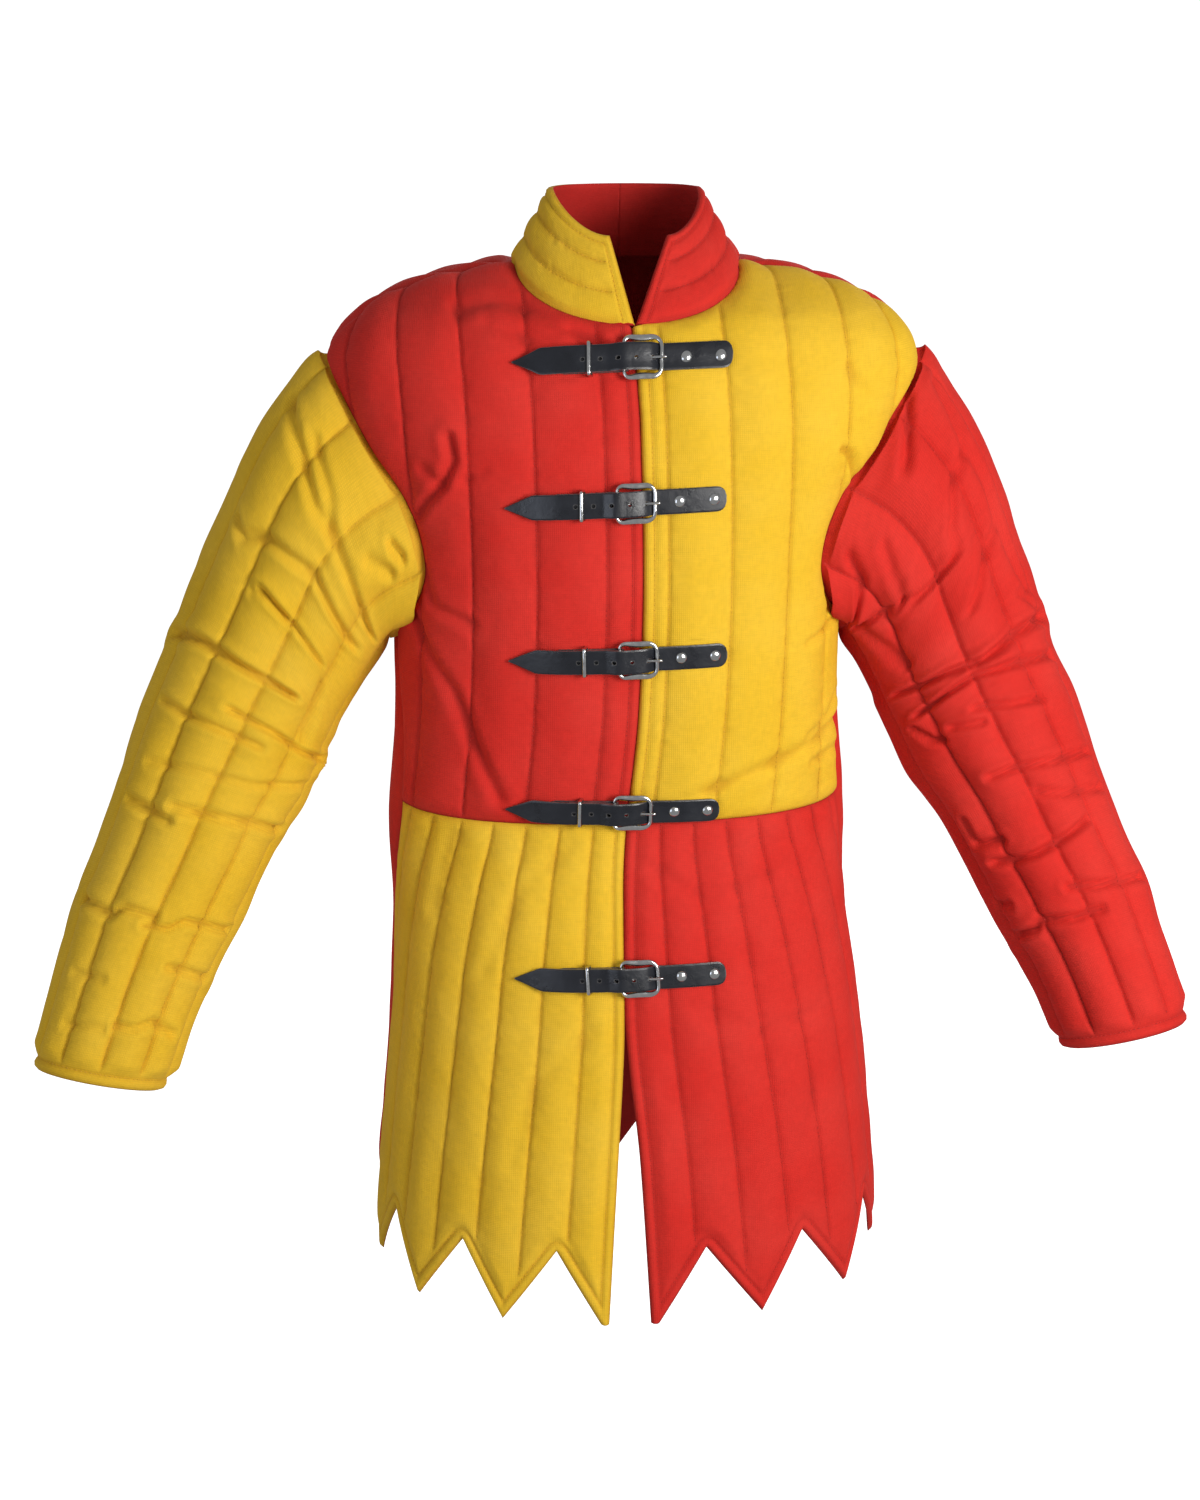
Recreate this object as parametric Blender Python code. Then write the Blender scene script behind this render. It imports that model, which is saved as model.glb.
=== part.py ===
"""A quartered gambeson: a quilted arming coat, worn open-necked and hollow, with nobody in it.

Lengths in the tables are millimetres. The origin is the middle of the neck's base, +Z is up and the
front faces -Y, so the wearer's left side is at +X. Every cloth piece is a wall: a plain inside laid on
the body's sections, and an outside that is thin along each quilting line and thick between two.
"""

import math

import bmesh
import bpy
import numpy as np

MM = 0.001
SEAM_GAP = 0.3

# Quilting: the wall along a line of stitches and between two, and how far apart the lines are.
STITCHED = 3.2
PADDED = 8.5
CHANNEL = 48.0
SOFT_EDGE = 14.0

# Sections of the inside, level cuts from the neck to the hem: height, half width, front and back depth.
ROUNDNESS = 2.5
SECTIONS = np.array([
    # z, half_width, front, back, middle_x
    (2, 60, 20, 58, 7),
    (-3, 94, 30, 70, 7),
    (-8, 128, 40, 80, 7),
    (-14, 157, 50, 89, 7),
    (-24, 188, 67, 98, 7),
    (-37, 213, 88, 104, 7),
    (-44, 222, 97, 106, 7),
    (-60, 238, 107, 110, 7),
    (-74, 245, 112, 113, 6),
    (-82, 246, 115, 115, 6),
    (-96, 244, 119, 117, 5),
    (-138, 231, 128, 121, 3),
    (-190, 204, 133, 123, 1),
    (-240, 190, 134, 122, 0),
    (-300, 187, 133, 119, 0),
    (-348, 187, 131, 114, 0),
    (-403, 189, 126, 106, 0),
    (-460, 194, 122, 101, 0),
    (-573, 198, 139, 117, 4),
    (-670, 207, 151, 133, 8),
    (-770, 217, 163, 149, 9),
    (-840, 224, 170, 158, 9),
    (-910, 228, 176, 165, 9),
])[::-1]

# Where the front ends and the back begins, as arc lengths from the side-most point of each section:
# the shoulder seam, the armhole and the side seam. Forward is positive in "front", backward in "back".
SIDES = np.array([
    # z, front, back
    (2, 6, -6),
    (-66, 10, -10),
    (-74, 10, -10),
    (-82, 24, 14),
    (-98, 40, 34),
    (-122, 57, 51),
    (-150, 71, 63),
    (-180, 82, 74),
    (-212, 88, 80),
    (-243, 88, 80),
    (-270, 77, 68),
    (-290, 50, 38),
    (-300, 20, -20),
    (-348, 32, -32),
    (-403, 42, -42),
    (-460, 45, -45),
    (-520, 28, -28),
    (-600, 6, -6),
    (-700, -4, 4),
    (-910, -10, 10),
])[::-1]
SHOULDER_TIP = -74
ARMPIT = -300

# The closing line down the front: where each front's edge runs, as x from the section's middle.
CLOSING = np.array([
    # z, wearer's right edge, wearer's left edge
    (2, -4, -4),
    (-44, -3, -3),
    (-120, 5, 5),
    (-250, 11, 11),
    (-360, 8, 8),
    (-460, -1, -1),
    (-520, -6, -6),
    (-630, -11, -11),
    (-760, -20, -1),
    (-910, -29, 8),
])[::-1]

# Neckline: half width at the shoulders, and the heights of the shoulder's neck point and the throat.
NECK_HALF = 94
NECK_POINT = -3
THROAT = -44

WAIST = -460
HEM_VALLEY = -838
HEM_TIP = -905
HEM_RISE = 14
CHEST_ROWS = (-460, -450, -410, -364, -326)
SHOULDER_ROWS = (-60, -44, -42, -36, -26, -14, -7, -3)
SKIRT_STEPS = 6
HALF_COLUMNS = 18
# The hem's teeth, as shares of the way from the front edge, or the centre back, to the side seam.
FRONT_TIPS, FRONT_VALLEYS = (0.024, 0.303, 0.582, 0.859), (0.162, 0.441, 0.720, 1.0)
BACK_TIPS, BACK_VALLEYS = (0, 2 / 7, 4 / 7, 6 / 7), (1 / 7, 3 / 7, 5 / 7, 1.0)

# Drag folds of the fronts, as soft troughs from one place to another.
FOLDS = (
    # side, x0, z0, x1, z1, depth
    (-1, 186, -285, 90, -440, 4.5),
    (-1, 160, -120, 172, -230, 5.0),
    (-1, 60, -75, 130, -150, 3.5),
    (1, 190, -345, 70, -430, 4.5),
    (1, 165, -160, 178, -270, 4.0),
    (1, 60, -90, 140, -150, 3.0),
)
FOLD_WIDTH = 15.0

# Sleeve rings from the armhole to the cuff: the top line and the under line as (x, z) of the inside,
# the middle's y and the half depth.
SLEEVE = np.array([
    # top_x, top_z, under_x, under_z, middle_y, half_depth
    (266, -97, 203, -304, -4, 82),
    (292, -138, 211, -325, -6, 80),
    (314, -186, 226, -349, -8, 77),
    (336, -236, 238, -371, -12, 76),
    (357, -286, 248, -391, -18, 76),
    (379, -338, 257, -411, -26, 76),
    (399, -385, 272, -444, -38, 74),
    (415, -432, 297, -480, -53, 71),
    (434, -484, 320, -523, -70, 67),
    (455, -532, 342, -565, -88, 63),
    (470, -580, 366, -607, -106, 59),
    (487, -634, 386, -655, -124, 55),
    (505, -682, 405, -706, -140, 52),
])
SLEEVE_CHANNELS = 10
# Cross creases of a sleeve: place along it, in rings, how deep, and the side that it is deepest on.
CREASES = (
    # ring, depth, turn
    (2.5, 3.0, 60),
    (4.4, 3.5, 150),
    (5.6, 4.5, 180),
    (7.0, 3.5, 90),
    (8.4, 4.0, 120),
    (10.0, 4.0, 60),
    (11.4, 3.5, 120),
)
SLEEVE_ENDS = {"right": 12.6, "left": 12.4}
# The arms aren't held quite alike: how far each sleeve swings out, and how full its top line is.
SLEEVE_SWING = {"right": 8, "left": -3}
SLEEVE_FULL = {"right": 0, "left": 9}

# Collar: the inside's top edge, and how far each half's top corner stands from the collar's middle.
COLLAR_MIDDLE = 7
COLLAR_HALF = 60
COLLAR_FRONT, COLLAR_BACK = -68, 47
COLLAR_LOW, COLLAR_HIGH = 27, 62
COLLAR_ROWS = 9
COLLAR_CORNERS = {"right": 18, "left": 29}

# Closures: where they lie, then the straps and the buckle in strap coordinates: s along the strap
# from the middle, w across it, h out from the padding.
CLOSURES = (
    # z, tilt in degrees, shift along the strap
    (-70, 1.5, -2.0),
    (-182, 2.0, -4.0),
    (-312, 1.0, -0.5),
    (-447, -1.0, -4.0),
    (-592, 0.5, -3.5),
)
STRAP_REST = 0.5
BILLET_THICK = 2.2
CHAPE_THICK = 2.0
BAR_AT, BAR_HEIGHT, BAR_RADIUS = -9.0, 4.0, 1.4
FRAME_RIGHT, FRAME_HALF, FRAME_CORNER = 22.2, 15.0, 6.0
PRONG_RADIUS = 1.1
KEEPER = (-40.0, -33.0)
RIVETS = (42.0, 70.0)
CHAPE_RIVET = -56.0
RIVET_RADIUS = 4.6

RED, YELLOW, LEATHER, STEEL = (
    (0.66, 0.035, 0.025), (0.83, 0.42, 0.02), (0.012, 0.013, 0.016), (0.62, 0.63, 0.65)
)


def start():
    for old in list(bpy.data.objects):
        bpy.data.objects.remove(old, do_unlink=True)
    collection = bpy.data.collections.new("gambeson")
    bpy.context.scene.collection.children.link(collection)
    return collection


def make_material(name, colour, metallic, roughness):
    material = bpy.data.materials.new(name)
    material.use_nodes = True
    shader = material.node_tree.nodes["Principled BSDF"]
    shader.inputs["Base Color"].default_value = (*colour, 1)
    shader.inputs["Metallic"].default_value = metallic
    shader.inputs["Roughness"].default_value = roughness
    return material


def eased(table, column, x):
    """A smooth curve through one column of a table, with no overshoot: a cubic whose slope at each
    row is the harmonic mean of the slopes on its two sides."""
    xs, ys = table[:, 0], table[:, column]
    step = np.diff(ys) / np.diff(xs)
    slope = np.concatenate([step[:1], np.zeros(len(xs) - 2), step[-1:]])
    product, total = step[:-1] * step[1:], step[:-1] + step[1:]
    rising = product > 0
    slope[1:-1][rising] = 2 * product[rising] / total[rising]
    x = np.clip(x, xs[0], xs[-1])
    k = np.clip(np.searchsorted(xs, x, side="right") - 1, 0, len(xs) - 2)
    width = xs[k + 1] - xs[k]
    t = (x - xs[k]) / width
    left = (1 + 2 * t) * (1 - t) ** 2 * ys[k] + t * (1 - t) ** 2 * width * slope[k]
    return left + t * t * (3 - 2 * t) * ys[k + 1] + t * t * (t - 1) * width * slope[k + 1]


def section(z):
    """Half a level cut at each height z, from centre front by the side to centre back: x, y and the
    length along it. The curve is a superellipse, flatter in front and behind than an ellipse."""
    turn = np.linspace(0, math.pi, 181)
    half_width, front, back = (eased(SECTIONS, column, z)[..., None] for column in (1, 2, 3))
    x = half_width * np.maximum(np.sin(turn), 0) ** (2 / ROUNDNESS)
    depth = np.where(turn < math.pi / 2, -front, back)
    y = depth * np.abs(np.cos(turn)) ** (2 / ROUNDNESS)
    steps = np.hypot(np.diff(x), np.diff(y))
    length = np.concatenate([np.zeros_like(steps[..., :1]), np.cumsum(steps, axis=-1)], axis=-1)
    return x, y, length


def quarter(z):
    """Arc length from centre front to the side-most point."""
    return section(np.asarray(z, float))[2][..., 90]


def half(z):
    return section(np.asarray(z, float))[2][..., -1]


def arc_at(x, z):
    """Arc length from centre front to where the front of the section is x from the middle."""
    across, _, length = section(np.asarray(z, float))
    return np.array([
        np.interp(at, row[:91], arcs[:91])
        for at, row, arcs in zip(np.ravel(x), across.reshape(-1, 181), length.reshape(-1, 181))
    ])


def body(q, z):
    """The inside's point q round the section at height z, q > 0 towards the wearer's left."""
    q, z = np.broadcast_arrays(np.asarray(q, float), np.asarray(z, float))
    x, y, length = section(z)
    far = np.abs(q)[..., None]
    k = np.clip((length < far).sum(-1, keepdims=True) - 1, 0, length.shape[-1] - 2)
    low, high = np.take_along_axis(length, k, -1), np.take_along_axis(length, k + 1, -1)
    t = (far - low) / (high - low)
    at = [
        (np.take_along_axis(v, k, -1) * (1 - t) + np.take_along_axis(v, k + 1, -1) * t)[..., 0]
        for v in (x, y)
    ]
    return np.stack([np.sign(q) * at[0] + eased(SECTIONS, 4, z), at[1], z], axis=-1)


def unit(v):
    return v / np.linalg.norm(v, axis=-1, keepdims=True)


def outward(q, z):
    """The inside's unit normal, away from the wearer."""
    return unit(np.cross(body(q + 1, z) - body(q - 1, z), body(q, z + 1) - body(q, z - 1)))


def smooth(t):
    t = np.clip(t, 0, 1)
    return t * t * (3 - 2 * t)


def armhole_rows():
    rows = SIDES[:, 0]
    return rows[(rows >= ARMPIT) & (rows <= SHOULDER_TIP)]


def body_rows():
    return np.array([*CHEST_ROWS, *armhole_rows(), *SHOULDER_ROWS], float)


def closing_edge(side, z):
    """Arc length of a front's closing edge, counted towards its own side."""
    sign, column = (1, 2) if side == "left" else (-1, 1)
    return sign * np.interp(z, CLOSING[:, 0], CLOSING[:, column]) + SEAM_GAP / 2


def front_start(side, z):
    """Arc length where a front begins at height z: its closing edge, or the neckline above the throat."""
    fall = np.clip((z - NECK_POINT) / (THROAT - NECK_POINT), 0, 1)
    neck = arc_at(NECK_HALF * np.sqrt(1 - fall**2), z).reshape(np.shape(z))
    return np.where(z > THROAT, neck, closing_edge(side, z))


def front_end(z):
    return quarter(z) - np.interp(z, SIDES[:, 0], SIDES[:, 1])


def back_end(z):
    """Arc length from centre back to the back's edge."""
    return half(z) - quarter(z) - np.interp(z, SIDES[:, 0], SIDES[:, 2])


def fold_depth(sign, q, z):
    """How far the drag folds press the outside in: each is a trough round a straight line."""
    depth = np.zeros(np.broadcast(q, z).shape)
    for side, x0, z0, x1, z1, deep in FOLDS:
        if side != sign:
            continue
        dx, dz = x1 - x0, z1 - z0
        along = np.clip(((q - x0) * dx + (z - z0) * dz) / (dx * dx + dz * dz), 0, 1)
        away = np.hypot(q - x0 - along * dx, z - z0 - along * dz)
        depth = np.maximum(depth, deep * np.exp(-((away / FOLD_WIDTH) ** 2)))
    return depth


def teeth(share, tips, valleys):
    """Height of the toothed hem at a share of the way to the side seam, where it hangs higher."""
    places = sorted([(at, HEM_TIP) for at in tips] + [(at, HEM_VALLEY) for at in valleys])
    return np.interp(share, [p[0] for p in places], [p[1] for p in places]) + HEM_RISE * share**2


def hem_shares(tips, valleys):
    """Even shares, with the nearest one moved onto each tip and valley."""
    shares = np.linspace(0, 1, HALF_COLUMNS + 1)
    for mark in (*tips, *valleys):
        nearest = np.abs(shares - mark).argmin()
        if 0 < nearest < HALF_COLUMNS:
            shares[nearest] = mark
    return shares


def wall(name, inside, outside, material, collection, ring=False, keep=None):
    """One closed body between two grids of points: both skins and the rim round every open edge."""
    rows, columns = inside.shape[:2]
    index = np.arange(rows * columns).reshape(rows, columns)
    if ring:
        index = np.concatenate([index, index[:, :1]], axis=1)
    cells = np.stack([index[:-1, :-1], index[:-1, 1:], index[1:, 1:], index[1:, :-1]], axis=-1)
    cells = cells.reshape(-1, 4) if keep is None else cells[keep]
    edges = {(int(c[i]), int(c[(i + 1) % 4])) for c in cells for i in range(4)}
    rim = [(b, a) for a, b in edges if (b, a) not in edges]
    deep = rows * columns
    faces = [tuple(int(i) for i in c) for c in cells]
    faces += [tuple(int(i) + deep for i in c[::-1]) for c in cells]
    faces += [(a, b, b + deep, a + deep) for a, b in rim]
    points = np.concatenate([outside.reshape(-1, 3), inside.reshape(-1, 3)]) * MM
    mesh = bpy.data.meshes.new(name)
    mesh.from_pydata(points.tolist(), [], faces)
    return finish_mesh(name, mesh, material, collection)


def finish_mesh(name, mesh, material, collection):
    """Merges the points that a clamped grid leaves together and turns the faces outwards."""
    form = bmesh.new()
    form.from_mesh(mesh)
    bmesh.ops.remove_doubles(form, verts=form.verts, dist=0.02 * MM)
    loose = [v for v in form.verts if not v.link_faces]
    bmesh.ops.delete(form, geom=loose, context="VERTS")
    bmesh.ops.triangulate(form, faces=form.faces)
    if form.calc_volume(signed=True) < 0:
        bmesh.ops.reverse_faces(form, faces=form.faces)
    form.to_mesh(mesh)
    form.free()
    mesh.materials.append(material)
    obj = bpy.data.objects.new(name, mesh)
    collection.objects.link(obj)
    return obj


def padding(columns, to_edge):
    """The wall's thickness: thin at every third column, which is a line of stitches, and at an edge."""
    thick = np.where(np.arange(columns) % 3 == 0, STITCHED, PADDED)
    return STITCHED + (thick - STITCHED) * smooth(to_edge / SOFT_EDGE)


def front_chest(side, material, collection):
    sign = 1 if side == "left" else -1
    z = body_rows()[:, None]
    end = front_end(z) - SEAM_GAP / 2
    begin = np.minimum(front_start(side, z), end)
    steps = np.concatenate([[0, CHANNEL / 6], np.arange(CHANNEL / 3, 320, CHANNEL / 3) + CHANNEL / 6])
    steps = np.insert(steps, 2, CHANNEL / 3)
    q = np.clip(closing_edge(side, z) + steps, begin, end)
    to_edge = np.minimum(q - begin, end - q)
    thick = padding(len(steps), to_edge)
    thick[0] = STITCHED
    thick = np.maximum(thick - fold_depth(sign, q, z), STITCHED)
    q = sign * q
    z = np.broadcast_to(z, q.shape)
    inside = body(q, z)
    return wall(
        f"front_{side}_chest", inside, inside + outward(q, z) * thick[..., None], material, collection
    )


def skirt_front(side, material, collection):
    sign = 1 if side == "left" else -1
    down = np.linspace(0, 1, SKIRT_STEPS + 1)[:, None]
    at_hem = hem_shares(FRONT_TIPS, FRONT_VALLEYS)
    share = np.linspace(0, 1, HALF_COLUMNS + 1) * (1 - down) + at_hem * down
    waist = WAIST - SEAM_GAP
    z = waist + (teeth(at_hem, FRONT_TIPS, FRONT_VALLEYS) - waist) * down
    begin, end = front_start(side, z), front_end(z) - SEAM_GAP / 2
    q = begin + share * (end - begin)
    thick = padding(share.shape[1], np.minimum(q - begin, end - q))
    thick[[0, -1]] = STITCHED
    q = sign * q
    inside = body(q, z)
    return wall(
        f"skirt_{side}", inside, inside + outward(q, z) * thick[..., None], material, collection
    )


def back(material, collection):
    """The whole back in one piece, from the neckline to the hem's teeth."""
    columns = np.arange(-HALF_COLUMNS, HALF_COLUMNS + 1)
    share = columns / HALF_COLUMNS
    upper = body_rows()[1:, None]
    limit = back_end(upper) - SEAM_GAP / 2
    s_upper = np.clip(share * back_end(WAIST), -limit, limit)
    down = np.linspace(1, 0, SKIRT_STEPS + 1)[:, None]
    at_hem = hem_shares(BACK_TIPS, BACK_VALLEYS)
    at_hem = np.concatenate([-at_hem[:0:-1], at_hem])
    z_lower = WAIST + (teeth(np.abs(at_hem), BACK_TIPS, BACK_VALLEYS) - WAIST) * down
    s_lower = (share * (1 - down) + at_hem * down) * (back_end(z_lower) - SEAM_GAP / 2)
    s = np.concatenate([s_lower, s_upper])
    z = np.concatenate([z_lower, np.broadcast_to(upper, s_upper.shape)])
    to_edge = back_end(z) - np.abs(s)
    thick = padding(len(columns), to_edge)
    thick[[0, -1]] = STITCHED
    # Towards the wearer's right s is negative, and q counts from the front.
    q = np.where(s < 0, -1, 1) * (half(z) - np.abs(s))
    centre = np.abs(s) < 1
    q_near = np.where(centre, half(z) - 1, q)
    out = outward(q_near, z)
    out[centre, 0] = 0
    inside = body(q, z)
    return wall("back", inside, inside + unit(out) * thick[..., None], material, collection)


def armhole(sign):
    """An armhole as a ring, down the front's edge and up the back's: its inside and outside points,
    mirrored to the wearer's left where it is the right one's."""
    z = armhole_rows()[::-1]
    front_q = front_end(z)
    back_q = half(z) - back_end(z)
    q = np.concatenate([front_q, back_q[-2:0:-1]])
    z = np.concatenate([z, z[-2:0:-1]])
    mirror = np.array([sign, 1, 1])
    inside = body(sign * q, z)
    return inside * mirror, (inside + outward(sign * q, z) * STITCHED) * mirror


def away_from_body(points):
    """A seam gap's move off the armhole: towards the ring's middle and outwards."""
    middle = points.mean(axis=0)
    return points + unit(unit(middle - points) + np.array([0.98, 0, -0.2])) * SEAM_GAP * 1.3


def sleeve(side, material, collection):
    """Rings fan out of the armhole and run down the arm. Each is an ellipse between the top line and
    the under line, square to the sleeve's middle line."""
    in_ring, out_ring = armhole(1 if side == "left" else -1)
    count = len(in_ring)
    last = SLEEVE_ENDS[side]
    at = np.array([1, 1.8, 2.5, 3.4, 4.4, 5, 5.6, 6.3, 7, 7.7, 8.4, 9.2, 10, 10.7, 11.4, last])
    place = np.arange(1, len(SLEEVE) + 1, dtype=float)
    table = np.column_stack([place, SLEEVE])
    top_x, top_z, under_x, under_z, middle_y, deep = (eased(table, c, at) for c in range(1, 7))
    swing = SLEEVE_SWING[side] * smooth(at / 6)
    full = SLEEVE_FULL[side] * np.sin(math.pi * np.clip(at / 6, 0, 1))
    top = np.column_stack([top_x + swing + full, middle_y, top_z])
    under = np.column_stack([under_x + swing, middle_y, under_z])
    middle = (top + under) / 2
    across = unit(top - under)
    run = np.gradient(middle, axis=0)
    forward = unit(np.cross(run, across))
    forward *= np.where(forward[:, 1:2] > 0, -1, 1)
    wide = np.linalg.norm(top - under, axis=1) / 2
    turn = np.linspace(0, 2 * math.pi, count, endpoint=False)
    c, s = np.cos(turn)[None, :, None], np.sin(turn)[None, :, None]
    wide, deep = wide[:, None, None], deep[:, None, None]
    rings = middle[:, None] + c * wide * across[:, None] + s * deep * forward[:, None]
    normal = unit(c * deep * across[:, None] + s * wide * forward[:, None])
    blend = np.clip(1 - (at - 0.5) / 1.6, 0, 1)[:, None, None] * 0.5
    carried = in_ring[None] - in_ring.mean(axis=0) + middle[:, None]
    rings = rings * (1 - blend) + carried * blend
    every = count // SLEEVE_CHANNELS
    thick = np.where(np.arange(count) % every == 0, STITCHED, PADDED)[None] + np.zeros((len(at), 1))
    for ring, deepest, toward in CREASES:
        near = np.exp(-(((at - ring) / 0.3) ** 2))[:, None]
        facing = 0.55 + 0.45 * np.cos(turn - math.radians(toward))[None]
        thick = thick - deepest * near * facing
    thick = np.maximum(thick, STITCHED)
    thick[0] = np.minimum(thick[0], 5)
    thick[-1] = STITCHED
    inside = np.concatenate([away_from_body(in_ring)[None], rings])
    outside = np.concatenate([
        (out_ring + away_from_body(in_ring) - in_ring)[None], rings + normal * thick[..., None]
    ])
    if side == "right":
        inside, outside = inside * (-1, 1, 1), outside * (-1, 1, 1)
    return wall(f"sleeve_{side}", inside, outside, material, collection, ring=True)


def neckline(side):
    """Half the neckline from the throat to the centre back, its inside and outside points, mirrored to
    the wearer's left where it is the right half."""
    sign = 1 if side == "left" else -1
    z_front = np.array([z for z in SHOULDER_ROWS if z >= THROAT], float)
    q_front = np.minimum(front_start(side, z_front), front_end(z_front))
    columns = np.arange(HALF_COLUMNS, -1, -1) / HALF_COLUMNS * back_end(WAIST)
    top = np.full(1, NECK_POINT, float)
    s_back = columns[columns < back_end(top) - 1]
    q_back = half(top) - s_back
    q = np.concatenate([q_front, q_back[:-1], [half(top)[0]]])
    z = np.concatenate([z_front, np.full(len(q_back), NECK_POINT)])
    mirror = np.array([sign, 1, 1])
    inside = body(sign * q, z)
    out = outward(sign * np.minimum(q, half(z) - 1), z)
    out[-1, 0] = 0
    return inside * mirror, (inside + unit(out) * STITCHED) * mirror


def collar(side, material, collection):
    sign = 1 if side == "left" else -1
    in_base, out_base = neckline(side)
    middle = np.array([0, -10, -20])
    move = unit(unit(middle - in_base) + np.array([0, 0, 1])) * SEAM_GAP
    run = np.concatenate([[0], np.cumsum(np.linalg.norm(np.diff(in_base, axis=0), axis=1))])
    share = run / run[-1]
    corner = math.asin(COLLAR_CORNERS[side] / COLLAR_HALF) / math.pi
    turn = (corner + (1 - corner) * share) * math.pi
    mean, swing = (COLLAR_FRONT + COLLAR_BACK) / 2, (COLLAR_BACK - COLLAR_FRONT) / 2
    edge = np.column_stack([
        COLLAR_HALF * np.sin(turn) + sign * COLLAR_MIDDLE,
        mean - swing * np.cos(turn),
        COLLAR_LOW + (COLLAR_HIGH - COLLAR_LOW) * smooth(share / 0.5),
    ])
    up = np.linspace(0, 1, COLLAR_ROWS + 1)[:, None, None]
    inside = (in_base + move) * (1 - up) + edge * up
    inside[:, -1, 0] = sign * COLLAR_MIDDLE + SEAM_GAP / 2
    along, rise = np.gradient(inside, axis=1), np.gradient(inside, axis=0)
    out = unit(np.cross(along, rise))
    out[:, -1] = unit(out[:, -1] * (0, 1, 1))
    thick = np.where(np.arange(COLLAR_ROWS + 1) % 3 == 0, STITCHED, PADDED - 1.5)[:, None]
    to_edge = np.minimum(run, run[-1] - run)[None] * np.ones_like(thick)
    thick = STITCHED + (thick - STITCHED) * smooth(to_edge / SOFT_EDGE)
    outside = inside + out * thick[..., None]
    outside[0] = out_base + move
    outside[:, -1, 0] = sign * COLLAR_MIDDLE + SEAM_GAP / 2
    if side == "right":
        inside, outside = inside * (-1, 1, 1), outside * (-1, 1, 1)
    return wall(f"collar_{side}", inside, outside, material, collection)


def on_front(closure, s, w, h):
    """From strap coordinates to the garment: s and w turned by the strap's tilt and laid on the
    front's sections, h out along the normal from the padding's crown."""
    height, tilt, shift = closure
    c, t = math.cos(math.radians(tilt)), math.sin(math.radians(tilt))
    s, w, h = np.broadcast_arrays(*(np.asarray(v, float) for v in (s, w, h)))
    q, z = shift + s * c - w * t, height + s * t + w * c
    return body(q, z) + outward(q, z) * (PADDED + STRAP_REST + h)[..., None]


def strap(name, closure, path, keep, lines, thick, material, collection):
    """A strap along a path of rows (s, h of its middle, half width), its thickness square to the path."""
    s, h, half_width = np.array(path, float).T
    run = unit(np.column_stack([np.gradient(s), np.gradient(h)]))
    side = np.column_stack([-run[:, 1], run[:, 0]]) * thick / 2
    w = half_width[:, None] * np.array(lines)[None]
    skins = [
        on_front(closure, (s + way * side[:, 0])[:, None], w, (h + way * side[:, 1])[:, None])
        for way in (-1, 1)
    ]
    return wall(name, skins[0], skins[1], material, collection, keep=keep)


def billet(name, closure, material, collection):
    """The long strap: riveted at the wearer's left, it passes under the frame's end, over the bar and
    through the keeper to its point. A slot lets the prong through."""
    lift = BILLET_THICK / 2
    rows = (
        # s, underside's h, half width
        (80, 0, 3.5), (77.5, 0, 7.8), (73, 0, 10), (60, 0, 10), (47, 0, 10), (33, 0, 10),
        (24, 0, 10), (21, 0.2, 10), (18.5, 1.3, 10), (16, 3.2, 10), (13, 4.9, 10), (8, 6.4, 10),
        (2, 7.3, 10), (-4, 7.9, 10), (-7, 8.4, 10), (-11, 8.4, 10),
        (-16, 6.6, 10), (-21, 4.9, 10), (-35, 4.6, 10), (-49, 4.5, 10), (-61, 4.3, 10),
        (-68, 2.6, 10), (-76, 0.9, 10), (-87, 0, 6), (-98, 0, 1.2),
    )
    places = [row[0] for row in rows]
    keep = np.ones((len(rows) - 1, 3), bool)
    keep[places.index(18.5):places.index(8), 1] = False
    path = [(s, h + lift, half_width) for s, h, half_width in rows]
    return strap(name, closure, path, keep, (-1, -0.2, 0.2, 1), BILLET_THICK, material, collection)


def chape(name, closure, material, collection):
    """The short strap, folded round the buckle's bar, with a slot in the fold for the prong's eye."""
    lift = CHAPE_THICK / 2
    turn_radius = BAR_HEIGHT - lift
    path = [(-64, lift, 4), (-61.5, lift, 8), (-57, lift, 10)]
    path += [(s, lift, 10) for s in (-43, -29, -15)]
    slot = len(path) - 1
    for degrees in (-90, -30, 30, 90):
        angle = math.radians(degrees)
        path.append((
            BAR_AT + turn_radius * math.cos(angle), BAR_HEIGHT + turn_radius * math.sin(angle), 10
        ))
    path += [(-15, 4.9, 10), (-21, 3.35, 10), (-33, 3.35, 10), (-46, 3.35, 10)]
    keep = np.ones((len(path) - 1, 3), bool)
    keep[slot:slot + 5, 1] = False
    return strap(name, closure, path, keep, (-1, -0.16, 0.16, 1), CHAPE_THICK, material, collection)


def wire(name, points, radius, cyclic, material, collection):
    curve = bpy.data.curves.new(name, "CURVE")
    curve.dimensions = "3D"
    curve.bevel_depth = radius * MM
    curve.bevel_resolution = 1
    curve.use_fill_caps = not cyclic
    line = curve.splines.new("POLY")
    line.points.add(len(points) - 1)
    line.points.foreach_set("co", np.column_stack([points * MM, np.ones(len(points))]).ravel())
    line.use_cyclic_u = cyclic
    curve.materials.append(material)
    obj = bpy.data.objects.new(name, curve)
    collection.objects.link(obj)
    return obj


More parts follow.
